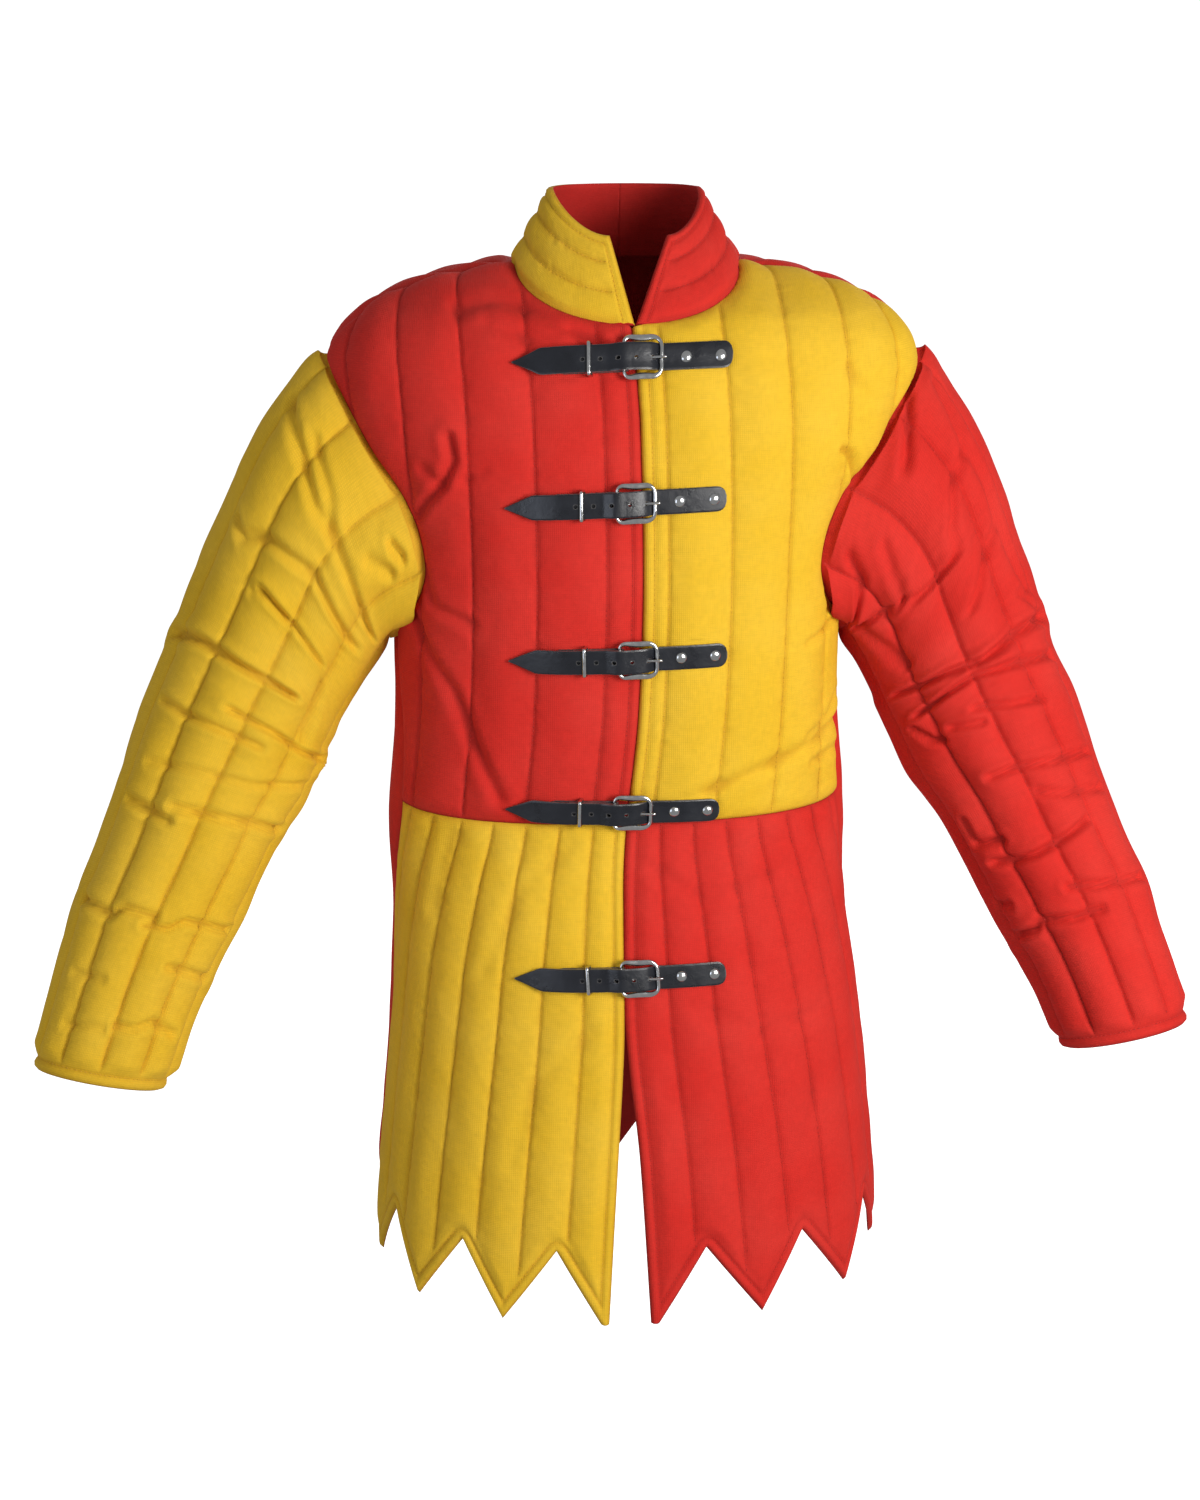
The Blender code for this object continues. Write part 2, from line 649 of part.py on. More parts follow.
def buckle_frame(name, closure, material, collection):
    """A wire bent to a rounded rectangle, whose left side is the bar."""
    middle = (BAR_AT + FRAME_RIGHT) / 2
    reach = (FRAME_RIGHT - BAR_AT) / 2 - FRAME_CORNER
    rise = FRAME_HALF - FRAME_CORNER
    s, w = [], []
    for start_turn, across, up in ((0, 1, 1), (90, -1, 1), (180, -1, -1), (270, 1, -1)):
        for degrees in (0, 30, 60, 90):
            angle = math.radians(start_turn + degrees)
            s.append(middle + across * reach + FRAME_CORNER * math.cos(angle))
            w.append(up * rise + FRAME_CORNER * math.sin(angle))
    points = on_front(closure, s, w, BAR_HEIGHT)
    return wire(name, points, BAR_RADIUS, True, material, collection)


def prong(name, closure, material, collection):
    """A wire with an eye round the bar, under the billet, out through its hole and over the frame's
    right side."""
    eye = BAR_RADIUS + PRONG_RADIUS + 0.45
    angles = np.radians([-40, -85, -130, -175, -220, -262])
    s = [*(BAR_AT + eye * np.cos(angles)), -4, 2, 8, 14, 19, 23, 26]
    h = [*(BAR_HEIGHT + eye * np.sin(angles)), 6.3, 5.6, 4.9, 5.8, 6.9, 7.1, 6.8]
    points = on_front(closure, s, 0, h)
    return wire(name, points, PRONG_RADIUS, False, material, collection)


def keeper(name, closure, material, collection):
    """A flat metal band over both straps, down to the padding beside them."""
    foot, shoulder, crown, thick = 10.9, 10.6, 7.3, 1.0
    inner_w = np.array([-shoulder, -shoulder, -9.6, 9.6, shoulder, shoulder])
    inner_h = np.array([0, crown - 1.0, crown, crown, crown - 1.0, 0])
    outer_w = np.array([-foot, -foot, -10.0, 10.0, foot, foot]) + thick * np.sign(inner_w)
    outer_h = inner_h + np.array([0, 0.6, thick, thick, 0.6, 0])
    s = np.array(KEEPER)[:, None]
    inside = on_front(closure, s, inner_w[None], inner_h[None])
    outside = on_front(closure, s, outer_w[None], outer_h[None])
    return wall(name, inside, outside, material, collection)


def rivet(name, closure, place, strap_top, material, collection):
    """A low domed head, resting on the strap."""
    form = bmesh.new()
    bmesh.ops.create_cone(
        form, cap_ends=True, segments=10, radius1=RIVET_RADIUS, radius2=RIVET_RADIUS * 0.62, depth=1.3
    )
    for vertex in form.verts:
        s, w, h = vertex.co
        spot = on_front(closure, place + s, w, strap_top + SEAM_GAP + 0.65 + h)
        vertex.co = [float(v) * MM for v in spot]
    mesh = bpy.data.meshes.new(name)
    form.to_mesh(mesh)
    form.free()
    return finish_mesh(name, mesh, material, collection)


def main():
    collection = start()
    red = make_material("red_cloth", RED, 0, 0.85)
    yellow = make_material("yellow_cloth", YELLOW, 0, 0.85)
    leather = make_material("black_leather", LEATHER, 0, 0.35)
    steel = make_material("nickel_plate", STEEL, 1, 0.2)
    front_chest("right", red, collection)
    front_chest("left", yellow, collection)
    skirt_front("right", yellow, collection)
    skirt_front("left", red, collection)
    back(red, collection)
    sleeve("right", yellow, collection)
    sleeve("left", red, collection)
    collar("right", yellow, collection)
    collar("left", red, collection)
    for number, closure in enumerate(CLOSURES, 1):
        name = f"closure_{number}"
        billet(f"{name}_billet", closure, leather, collection)
        chape(f"{name}_chape", closure, leather, collection)
        buckle_frame(f"{name}_frame", closure, steel, collection)
        prong(f"{name}_prong", closure, steel, collection)
        keeper(f"{name}_keeper", closure, steel, collection)
        for letter, place in zip("ab", RIVETS):
            rivet(f"{name}_rivet_{letter}", closure, place, BILLET_THICK, steel, collection)
        rivet(f"{name}_rivet_c", closure, CHAPE_RIVET, CHAPE_THICK, steel, collection)


main()
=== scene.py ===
# %% [markdown]
# # A quartered gambeson
#
# A gambeson is a padded arming coat. Two layers of cotton with wadding between them are sewn together
# along close lines, which leaves soft channels, and the panels are cut in two colours that change at the
# waist and at the front edge. This one is filled out, as it is when worn.
#
# The imported CAD model is loaded first as a fixed frame, with the origin at the base of the neck. Its
# parts stay in the scene, hidden where a finished piece stands for them.

# %% Load the frame
import math

import bmesh
import bpy
import numpy as np
from mathutils import Matrix


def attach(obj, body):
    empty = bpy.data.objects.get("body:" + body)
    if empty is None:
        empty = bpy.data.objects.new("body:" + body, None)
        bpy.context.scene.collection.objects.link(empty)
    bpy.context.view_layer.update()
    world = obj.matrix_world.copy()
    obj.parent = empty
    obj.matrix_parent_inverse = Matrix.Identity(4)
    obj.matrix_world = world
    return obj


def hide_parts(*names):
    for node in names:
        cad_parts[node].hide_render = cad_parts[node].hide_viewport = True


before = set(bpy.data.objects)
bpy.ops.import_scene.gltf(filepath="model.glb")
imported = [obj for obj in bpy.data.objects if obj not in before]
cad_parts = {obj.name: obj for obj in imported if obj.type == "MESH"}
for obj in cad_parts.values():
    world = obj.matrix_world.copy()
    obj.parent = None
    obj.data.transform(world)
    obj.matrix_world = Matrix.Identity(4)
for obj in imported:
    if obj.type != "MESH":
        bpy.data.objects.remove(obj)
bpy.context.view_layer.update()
MM = 0.001

# %% [markdown]
# ## The body under the cloth
#
# A coat has no stiff frame, so its shape is the wearer's. The inside of every panel lies on one form: level
# cuts at many heights, each a superellipse, which is an ellipse pressed a little flat in front and behind.
# A place on it is named by q, the millimetres round the cut from the centre front, and the height z. A
# tailor measures a chest in the same way, so panels, quilting lines and creases can all be given in it.

# %% The form's measurements
ROUNDNESS = 2.5
SECTIONS = np.array([
    # z, half_width, front, back, middle_x
    (2, 60, 20, 58, 7),
    (-3, 94, 30, 70, 7),
    (-8, 128, 40, 80, 7),
    (-14, 157, 50, 89, 7),
    (-24, 188, 67, 98, 7),
    (-37, 213, 88, 104, 7),
    (-44, 222, 97, 106, 7),
    (-60, 238, 107, 110, 7),
    (-74, 245, 112, 113, 6),
    (-82, 246, 115, 115, 6),
    (-96, 244, 119, 117, 5),
    (-138, 231, 128, 121, 3),
    (-190, 204, 133, 123, 1),
    (-240, 190, 134, 122, 0),
    (-300, 187, 133, 119, 0),
    (-348, 187, 131, 114, 0),
    (-403, 189, 126, 106, 0),
    (-460, 194, 122, 101, 0),
    (-573, 198, 139, 117, 4),
    (-670, 207, 151, 133, 8),
    (-770, 217, 163, 149, 9),
    (-840, 224, 170, 158, 9),
    (-910, 228, 176, 165, 9),
], float)[::-1]


def smooth(t):
    """Rises from 0 to 1 with level ends: 3 t squared minus 2 t cubed."""
    t = np.clip(t, 0, 1)
    return t * t * (3 - 2 * t)


def unit(v):
    return v / np.maximum(np.linalg.norm(v, axis=-1, keepdims=True), 1e-12)


def length_along(points):
    """Length of a path at each of its points: the running sum of the steps between them."""
    return np.append(0, np.cumsum(np.linalg.norm(np.diff(points, axis=0), axis=1)))


def eased(table, column, x):
    """A smooth curve through one column of a table, with no overshoot: a cubic between rows, whose slope
    at each row is the harmonic mean of the slopes on its two sides, or level at a turning point."""
    xs, ys = table[:, 0], table[:, column]
    step = np.diff(ys) / np.diff(xs)
    slope = np.concatenate([step[:1], np.zeros(len(xs) - 2), step[-1:]])
    product, total = step[:-1] * step[1:], step[:-1] + step[1:]
    rising = product > 0
    slope[1:-1][rising] = 2 * product[rising] / total[rising]
    x = np.clip(x, xs[0], xs[-1])
    k = np.clip(np.searchsorted(xs, x, side="right") - 1, 0, len(xs) - 2)
    width = xs[k + 1] - xs[k]
    t = (x - xs[k]) / width
    left = (1 + 2 * t) * (1 - t) ** 2 * ys[k] + t * (1 - t) ** 2 * width * slope[k]
    return left + t * t * (3 - 2 * t) * ys[k + 1] + t * t * (t - 1) * width * slope[k + 1]


# %% Measure every level cut once
LEVEL_STEP = 0.5
LEVELS = np.arange(-912.0, 2.25, LEVEL_STEP)
SHARES = 360


def measure_levels():
    """Half of each level cut as points at even shares of its length. For a turn from centre front (0) to
    centre back (pi), x is the half width times sin(turn) and y is minus the front depth, or plus the
    back depth, times cos(turn), each to the power 2 over ROUNDNESS."""
    turn = np.linspace(0, math.pi, 2 * SHARES + 1)
    half_width, front, back = (eased(SECTIONS, column, LEVELS)[:, None] for column in (1, 2, 3))
    x = half_width * np.clip(np.sin(turn), 0, 1) ** (2 / ROUNDNESS)
    y = np.where(turn < math.pi / 2, -front, back) * np.abs(np.cos(turn)) ** (2 / ROUNDNESS)
    steps = np.hypot(np.diff(x), np.diff(y))
    length = np.concatenate([np.zeros((len(LEVELS), 1)), np.cumsum(steps, axis=1)], axis=1)
    row = 2.0 * np.arange(len(LEVELS))[:, None]
    known = (length / length[:, -1:] + row).ravel()
    wanted = (np.linspace(0, 1, SHARES + 1) + row).ravel()
    even = [np.interp(wanted, known, v.ravel()).reshape(len(LEVELS), -1) for v in (x, y)]
    return even[0], even[1], length[:, SHARES], length[:, -1]


LEVEL_X, LEVEL_Y, QUARTERS, HALVES = measure_levels()
print("half round the chest, waist and hem in mm:", np.interp((-200, -460, -905), LEVELS, HALVES).round())


def quarter(z):
    """Millimetres from centre front to the side-most point."""
    return np.interp(z, LEVELS, QUARTERS)


def half(z):
    """Millimetres from centre front to centre back."""
    return np.interp(z, LEVELS, HALVES)


def body(q, z):
    """The form's point at q round and height z, q > 0 towards the wearer's left. It is a blend of the four
    nearest measured points; past centre back it goes on round the other side."""
    q, z = np.broadcast_arrays(np.asarray(q, float), np.asarray(z, float))
    far = np.abs(q) / half(z)
    side = np.where(far > 1, -np.sign(q), np.sign(q))
    far = np.where(far > 1, 2 - far, far)
    row = np.clip((z - LEVELS[0]) / LEVEL_STEP, 0, len(LEVELS) - 1.001)
    column = np.clip(far, 0, 1) * (SHARES - 0.001)
    i, j = row.astype(int), column.astype(int)
    a, b = row - i, column - j
    x, y = (
        (v[i, j] * (1 - b) + v[i, j + 1] * b) * (1 - a) + (v[i + 1, j] * (1 - b) + v[i + 1, j + 1] * b) * a
        for v in (LEVEL_X, LEVEL_Y)
    )
    return np.stack([side * x + eased(SECTIONS, 4, z), y, z], axis=-1)


def outward(q, z):
    """The form's unit normal: the cross product of a step round it and a step up it."""
    return unit(np.cross(body(q + 2, z) - body(q - 2, z), body(q, z + 1) - body(q, z - 1)))


def raised(q, z, height):
    """The form's point, moved out along its normal by height."""
    return body(q, z) + outward(q, z) * height[..., None]


def mirrored(points, sign):
    """Points with x times sign, so that a formula for the wearer's left serves both sides."""
    return points * np.array([sign, 1, 1])


# %% [markdown]
# ## Where the panels meet
#
# The fronts end at the shoulder seam, the armhole and the side seam, and the back begins there. The front
# edge isn't plumb: it leans to the wearer's left at the chest and parts below the waist. Both are read
# from short tables, so two neighbours always share one line.

# %% Seam lines
SEAM_GAP = 0.3
SIDES = np.array([
    # z, front's end and back's end, as lengths from the side-most point
    (2, 6, -6),
    (-66, 10, -10),
    (-74, 10, -10),
    (-82, 24, 14),
    (-98, 40, 34),
    (-122, 57, 51),
    (-150, 71, 63),
    (-180, 82, 74),
    (-212, 88, 80),
    (-243, 88, 80),
    (-270, 77, 68),
    (-290, 50, 38),
    (-300, 20, -20),
    (-348, 32, -32),
    (-403, 42, -42),
    (-460, 45, -45),
    (-520, 28, -28),
    (-600, 6, -6),
    (-700, -4, 4),
    (-910, -10, 10),
], float)[::-1]
SHOULDER_TIP, ARMPIT = -74, -300
CLOSING = np.array([
    # z, the wearer's right edge, the wearer's left edge
    (2, -4, -4),
    (-44, -3, -3),
    (-120, 5, 5),
    (-250, 11, 11),
    (-360, 8, 8),
    (-460, -1, -1),
    (-520, -6, -6),
    (-630, -11, -11),
    (-760, -20, -1),
    (-910, -29, 8),
], float)[::-1]
NECK_HALF, NECK_POINT, THROAT = 94, -3, -44
WAIST = -460


def closing_edge(sign, z):
    """A front's closing edge, counted towards its own side (sign is 1 for the wearer's left)."""
    column = 2 if sign > 0 else 1
    return sign * eased(CLOSING, column, z) + SEAM_GAP / 2


def neck_edge(z):
    """The neckline on the fronts: an ellipse, NECK_HALF wide at the shoulders and closed at the throat."""
    fall = np.clip((z - NECK_POINT) / (THROAT - NECK_POINT), 0, 1)
    share = np.linspace(0, 1, SHARES + 1)
    at = np.linspace(NECK_POINT, THROAT, 42)
    wanted = NECK_HALF * np.sqrt(1 - ((at - NECK_POINT) / (THROAT - NECK_POINT)) ** 2)
    rows = ((at - LEVELS[0]) / LEVEL_STEP).astype(int)
    arcs = [np.interp(w, LEVEL_X[r, :181], share[:181] * HALVES[r]) for w, r in zip(wanted, rows)]
    return np.interp(fall, np.linspace(0, 1, 42), arcs)


def front_start(sign, z):
    return np.where(z > THROAT, neck_edge(z), closing_edge(sign, z))


def front_end(z):
    return quarter(z) - eased(SIDES, 1, z)


def back_end(z):
    """The back's edge, counted from centre back."""
    return half(z) - quarter(z) - eased(SIDES, 2, z)


print("front's width at the waist in mm:", np.round(front_end(WAIST) - closing_edge(1, WAIST), 1))

# %% [markdown]
# ## Relief: quilting, creases and slack
#
# The relief on quilted cotton comes from three things. A line of stitches pulls both layers together, so
# the wadding swells between two lines and the cloth puckers beside each. A free edge is turned in and
# topstitched, which leaves a narrow roll. And a worn coat has creases where the body bends or a strap
# pulls, uneven in length and depth. Each one is a small function that gives millimetres of height, so
# they can be added and looked at one by one. The slack between the creases is smooth noise from a seeded
# table, which gives the same coat at each run.

# %% Relief functions
STITCHED, PADDED = 3.2, 8.5
EDGE_ROLL, TOPSTITCH = 5.4, 9.0
# Millimetres over the stitches that count as a full crest in the cloth's colour; below that the colour goes
# darker, as painted shade.
CREST, SLEEVE_CREST, COLLAR_CREST = 5, 6, 4


def slack(a, b, size_a, size_b, seed):
    """Smooth noise from -1 to 1. Random values stand on a grid of size_a by size_b millimetres, and a
    point takes a blend of the nearest four, eased so that no grid line shows."""
    table = np.random.default_rng(seed).uniform(-1, 1, (64, 64))
    u, v = np.broadcast_arrays(a / size_a + 1000, b / size_b + 1000)
    i, j = np.floor(u).astype(int), np.floor(v).astype(int)
    s, t = smooth(u - i), smooth(v - j)
    i0, i1, j0, j1 = i % 64, (i + 1) % 64, j % 64, (j + 1) % 64
    low = table[i0, j0] * (1 - s) + table[i1, j0] * s
    return low * (1 - t) + (table[i0, j1] * (1 - s) + table[i1, j1] * s) * t


def swelling(to_line, half_channel, fullness=2.0):
    """0 on a line of stitches and 1 midway: a quarter of it is a narrow dip, 1 - exp(-(distance / 1.7)
    squared), and the rest a slow rise, 1 - (1 - share of the half channel) to a power."""
    dip = 1 - np.exp(-((to_line / 1.7) ** 2))
    return 0.25 * dip + 0.75 * (1 - (1 - np.clip(to_line / half_channel, 0, 1)) ** fullness)


def rolled_edge(to_edge, height):
    """Height beside a free edge: a quarter-round up to EDGE_ROLL, a groove at TOPSTITCH, and from there
    a soft rise to the height of the padding."""
    roll = EDGE_ROLL * np.sqrt(np.clip(1 - (1 - np.clip(to_edge / 4.5, 0, 1)) ** 2, 0, 1))
    groove = 1.7 * np.exp(-(((to_edge - TOPSTITCH) / 1.7) ** 2))
    inner = smooth((to_edge - TOPSTITCH) / 11)
    return 1.2 + (roll - 1.2) * smooth(to_edge / 1.0) * (1 - inner) + (height - 1.2) * inner - groove


def creases(table, a, b):
    """Soft troughs along paths of places, with a low ridge on both sides and a sharper fold in the
    middle. With r, the distance over the width, the height is depth times
    (1.2 r squared - 0.65) exp(-r squared) - 0.35 exp(-6 r squared)."""
    total = np.zeros(np.broadcast(a, b).shape)
    for deep, width, *path in table:
        least = np.full(total.shape, 1e6)
        for (a0, b0), (a1, b1) in zip(path[:-1], path[1:]):
            da, db = a1 - a0, b1 - b0
            t = np.clip(((a - a0) * da + (b - b0) * db) / (da * da + db * db), 0, 1)
            least = np.minimum(least, (a - a0 - t * da) ** 2 + (b - b0 - t * db) ** 2)
        r2 = least / width**2
        total = total + deep * ((1.2 * r2 - 0.65) * np.exp(-r2) - 0.35 * np.exp(-6 * r2))
    return total


def nearest_line(a, lines):
    """Distance from a to the nearest of some sewn lines, and half the width of its channel."""
    lines = np.asarray(lines, float)
    k = np.clip(np.searchsorted(lines, a) - 1, 0, len(lines) - 2)
    low, high = lines[k], lines[k + 1]
    return np.abs(np.minimum(a - low, high - a)), (high - low) / 2


def puckers(to_line, a, b, seed):
    """Small gathers across a line of stitches, 6 mm apart and gone about 7 mm away from it."""
    return 0.8 * slack(a, b, 11, 6, seed) * np.exp(-((to_line / 6.5) ** 2)) * smooth(to_line / 1.5)


def quilted(to_line, half_channel, a, z, coarse, fine, seed):
    """Height of a padded channel: STITCHED + (PADDED - STITCHED) swelling, lower where the channel is
    under 40 mm wide, plus puckers and two sizes of slack. coarse and fine are slack's sizes and seed."""
    swell = swelling(to_line, half_channel)
    height = STITCHED + (PADDED - STITCHED) * np.minimum(half_channel / 20, 1) ** 0.7 * swell
    height = height + 0.9 * swell * slack(a, z, *coarse) + 0.5 * swell * slack(a, z, *fine)
    return height + puckers(to_line, a, z, seed)


def sewn_down(height, to_seam, reach=13, deepest=0.8):
    """Draws the height to STITCHED at a seam: what is over it counts 1 - (1 - share of reach) squared."""
    share = 1 - (1 - np.clip(to_seam / reach, 0, 1)) ** 2
    return STITCHED + np.maximum(height - STITCHED, -deepest) * share


profile = STITCHED + (PADDED - STITCHED) * swelling(np.arange(0, 27, 5), 26)
print("a channel's height in mm, from its stitches:", profile.round(1))

# %% [markdown]
# ## One shell from two skins
#
# Every panel is a closed wall: the outer cloth with its relief, the lining, and the turned edge between
# them. The lining is plain, so it gets half as many rows and columns, and the edge joins two short steps
# of the outer cloth to one long step of the lining with a five-cornered face. The rows and columns stand
# closer together beside a line of stitches, where the relief is steep. The UV map holds the place on
# the flat cut in metres, so that the weave later runs along the panel at its true size.

# %% Grids and meshes
def fill(marks, spacing):
    """Places between marks, an even number of steps a stretch, halfway between evenly spaced and bunched
    at the marks: t/2 + (1 - cos(pi t))/4."""
    places = [np.array([float(marks[0])])]
    for low, high in zip(marks[:-1], marks[1:]):
        count = 2 * max(1, round((high - low) / spacing / 2))
        t = np.arange(1, count + 1) / count
        places.append(low + (high - low) * (t / 2 + (1 - np.cos(math.pi * t)) / 4))
    return np.concatenate(places)


def quads(at):
    """The cells of a grid of vertex numbers, each with its four corners in turn."""
    return np.stack([at[:-1, :-1], at[:-1, 1:], at[1:, 1:], at[1:, :-1]], -1)


def closed_round(at):
    """A grid of vertex numbers with its first column again at the end, so that the surface closes."""
    return np.append(at, at[:, :1], axis=1)


def new_mesh(name, points, faces):
    """A mesh from points in millimetres."""
    mesh = bpy.data.meshes.new(name)
    mesh.from_pydata((points.reshape(-1, 3) * MM).tolist(), [], faces)
    return mesh


def place_in_scene(name, data):
    obj = bpy.data.objects.new(name, data)
    bpy.context.scene.collection.objects.link(obj)
    return obj


def tidy_mesh(name, mesh):
    """Merges doubles, drops what they leave behind, and turns the faces outwards by the volume's sign."""
    form = bmesh.new()
    form.from_mesh(mesh)
    bmesh.ops.remove_doubles(form, verts=form.verts, dist=0.03 * MM)
    bmesh.ops.delete(form, geom=[v for v in form.verts if not v.link_faces], context="VERTS")
    if form.calc_volume(signed=True) < 0:
        bmesh.ops.reverse_faces(form, faces=form.faces)
    open_edges = sum(not e.is_manifold for e in form.edges)
    form.to_mesh(mesh)
    form.free()
    mesh.shade_smooth()
    mesh.calc_loop_triangles()
    print(f"{name}: {len(mesh.loop_triangles)} triangles, {open_edges} open edges")
    return place_in_scene(name, mesh)


print("steps over 26 mm in mm:", np.diff(fill((0, 26), 2.6)).round(1))


# %% Shells
def shell(name, outside, inside, cut, crest, wrap=False):
    """Joins an outer grid and a lining grid of half its steps into one closed mesh. Points that lie on each
    other, where columns run into a slanting seam, are merged, and the faces are turned outwards."""
    rows, columns = outside.shape[:2]
    last = columns if wrap else columns - 1
    at = np.arange(rows)[:, None] * columns + np.arange(last + 1)[None] % columns
    inner_columns = inside.shape[1]
    inner_last = inner_columns if wrap else inner_columns - 1
    below = np.arange(inside.shape[0])[:, None] * inner_columns
    below = below + np.arange(inner_last + 1)[None] % inner_columns + rows * columns
    cut_at = np.arange(rows * (last + 1)).reshape(rows, last + 1)

    def rim(outer, inner):
        return np.stack([outer[2::2], outer[1:-1:2], outer[:-2:2], inner[:-1], inner[1:]], -1)

    half_cut = cut_at[::2, ::2]
    sides = [(0, slice(None)), (-1, slice(None, None, -1))]
    rims = [rim(at[row][way], below[row][way]) for row, way in sides]
    cuts = [rim(cut_at[row][way], half_cut[row][way]) for row, way in sides]
    if not wrap:
        ends = [(-1, slice(None)), (0, slice(None, None, -1))]
        rims += [rim(at[:, c][way], below[:, c][way]) for c, way in ends]
        cuts += [rim(cut_at[:, c][way], half_cut[:, c][way]) for c, way in ends]
    lined = quads(below)[..., ::-1].reshape(-1, 4)
    faces = quads(at).reshape(-1, 4).tolist() + lined.tolist() + np.concatenate(rims).tolist()
    corners = [quads(cut_at).ravel(), quads(half_cut)[..., ::-1].ravel(), np.concatenate(cuts).ravel()]
    mesh = new_mesh(name, np.concatenate([outside.reshape(-1, 3), inside.reshape(-1, 3)]), faces)
    uv = mesh.uv_layers.new(name="cut")
    uv.uv.foreach_set("vector", (cut.reshape(-1, 2)[np.concatenate(corners)] * MM).ravel())
    lining = np.zeros(len(faces), np.int32)
    lining[(rows - 1) * last:] = 1
    mesh.polygons.foreach_set("material_index", lining)
    # The crest attribute, the outer cloth's height over its stitches, sets painted shade in the cotton's
    # colour: darker in the grooves and creases. The lining's 0.6 gives the plain dye.
    raised = mesh.attributes.new("crest", "FLOAT", "POINT")
    height = np.concatenate([crest.ravel(), np.full(inside.shape[0] * inner_columns, 0.6)])
    raised.data.foreach_set("value", height.astype(np.float32))
    return tidy_mesh(name, mesh)


# %% [markdown]
# ## The chest
#
# The two halves of the chest are cut in opposite colours and quilted from top to bottom in channels about
# 53 mm wide. The grid's columns follow the quilting lines, and its rows are level cuts. Where a column
# reaches the armhole or the neckline it runs along that seam, and the merged points leave no gap.
#
# The straps lie on the padding, so the cloth under them is kept down to their height.

# %% Straps press the padding
CLOSURES = (
    # z, tilt in degrees, shift along the strap
    (-70, 1.5, -2.0),
    (-182, 2.0, -4.0),
    (-312, 1.0, -0.5),
    (-447, -1.0, -4.0),
    (-592, 0.5, -3.5),
)


STRAP_ENDS, PRESSED_HALF, PRESSED_REACH = (-100, 80), 13, 14


def pressed(q, z, height):
    """Keeps the padding 0.3 mm under its crown where a strap lies, and lets it rise beside the strap: by
    12 smooth(distance / PRESSED_REACH)."""
    for level, tilt, shift in CLOSURES:
        rise = level + np.tan(math.radians(tilt)) * (q - shift)
        past_end = np.maximum(STRAP_ENDS[0] - q, q - STRAP_ENDS[1])
        beside = np.maximum(np.abs(z - rise) - PRESSED_HALF, past_end)
        height = np.minimum(height, PADDED - 0.3 + 12 * smooth(beside / PRESSED_REACH))
    return height


print("straps at heights in mm:", [level for level, _, _ in CLOSURES])


# %% Chest fronts
CHEST_LINES = {
    -1: (9, 30, 87, 141, 195, 249, 303, 357),
    1: (9, 21, 74, 127, 180, 233, 286, 339),
}
CHEST_CREASES = {
    # depth, width, places (q, z)
    -1: (
        (6.5, 7, (150, -130), (146, -148), (154, -168), (170, -184), (180, -198)),
        (3, 8, (172, -156), (156, -168)),
        (2.8, 9, (146, -36), (112, -30), (84, -34), (62, -46), (34, -56)),
        (2.6, 9, (120, -44), (92, -54), (66, -58)),
        (2, 6, (54, -48), (24, -58)),
        (1.5, 6, (120, -156), (136, -164)),
        (4, 10, (200, -282), (150, -344), (108, -438)),
        (3, 9, (178, -244), (168, -274), (132, -286)),
    ),
    1: (
        (4.5, 6, (180, -146), (190, -150), (202, -172)),
        (3.5, 10, (216, -390), (122, -414), (64, -434)),
        (3, 7, (188, -272), (206, -298), (174, -308), (160, -312)),
        (2.5, 7, (162, -394), (194, -384), (210, -368)),
        (2.5, 7, (168, -420), (206, -416)),
        (2, 8, (180, -80), (194, -100), (206, -108)),
    ),
}


def rows_by_length(low, high, spacing):
    """Heights whose rows stand evenly along the shoulder and the armhole, not evenly up: the length sums
    steps in height, in half width and in the armhole's edge."""
    z = np.arange(low, high + 0.01, 0.25)
    across = eased(SECTIONS, 1, z)
    edge = 0.6 * eased(SIDES, 2, z)
    length = length_along(np.column_stack([z, across, edge]))
    count = 2 * round(length[-1] / spacing / 2) + 1
    return np.interp(np.linspace(0, length[-1], count), length, z)


def up_the_cut(z):
    """Length up the flat cut, which is longer than the height on the sloping shoulder."""
    length = length_along(np.column_stack([LEVELS, 0.8 * eased(SECTIONS, 1, LEVELS)]))
    return np.interp(z, LEVELS, length)


def chest_relief(sign, q, z):
    """Height of the outer cloth over the form; q counts towards the panel's own side. The distance to the
    neckline is (g - 1) over g's slope, where g is 1 on the neckline's ellipse."""
    a = q - closing_edge(sign, z)
    to_line, half_channel = nearest_line(a, CHEST_LINES[sign])
    height = quilted(to_line, half_channel, a, z, (30, 70, 11 + sign), (14, 24, 5), 21 + sign)
    height = height + creases(CHEST_CREASES[sign], q, z)
    neck_drop = NECK_POINT - THROAT
    g = np.sqrt((q / NECK_HALF) ** 2 + ((z - NECK_POINT) / neck_drop) ** 2)
    slope = np.hypot(q / NECK_HALF**2, (z - NECK_POINT) / neck_drop**2) / g
    to_seam = np.minimum(front_end(z) - q, np.minimum((g - 1) / slope, z - WAIST))
    height = sewn_down(height, to_seam)
    free = np.where(z > THROAT, 1.0, smooth(a / 20))
    height = np.where(free < 1, rolled_edge(np.maximum(a, 0), height), height)
    return pressed(sign * q, z, height)


def lining_lift(to_edge):
    """The lining turns up to meet the outer cloth at a free edge."""
    return 0.6 * (1 - smooth(to_edge / 2.5))


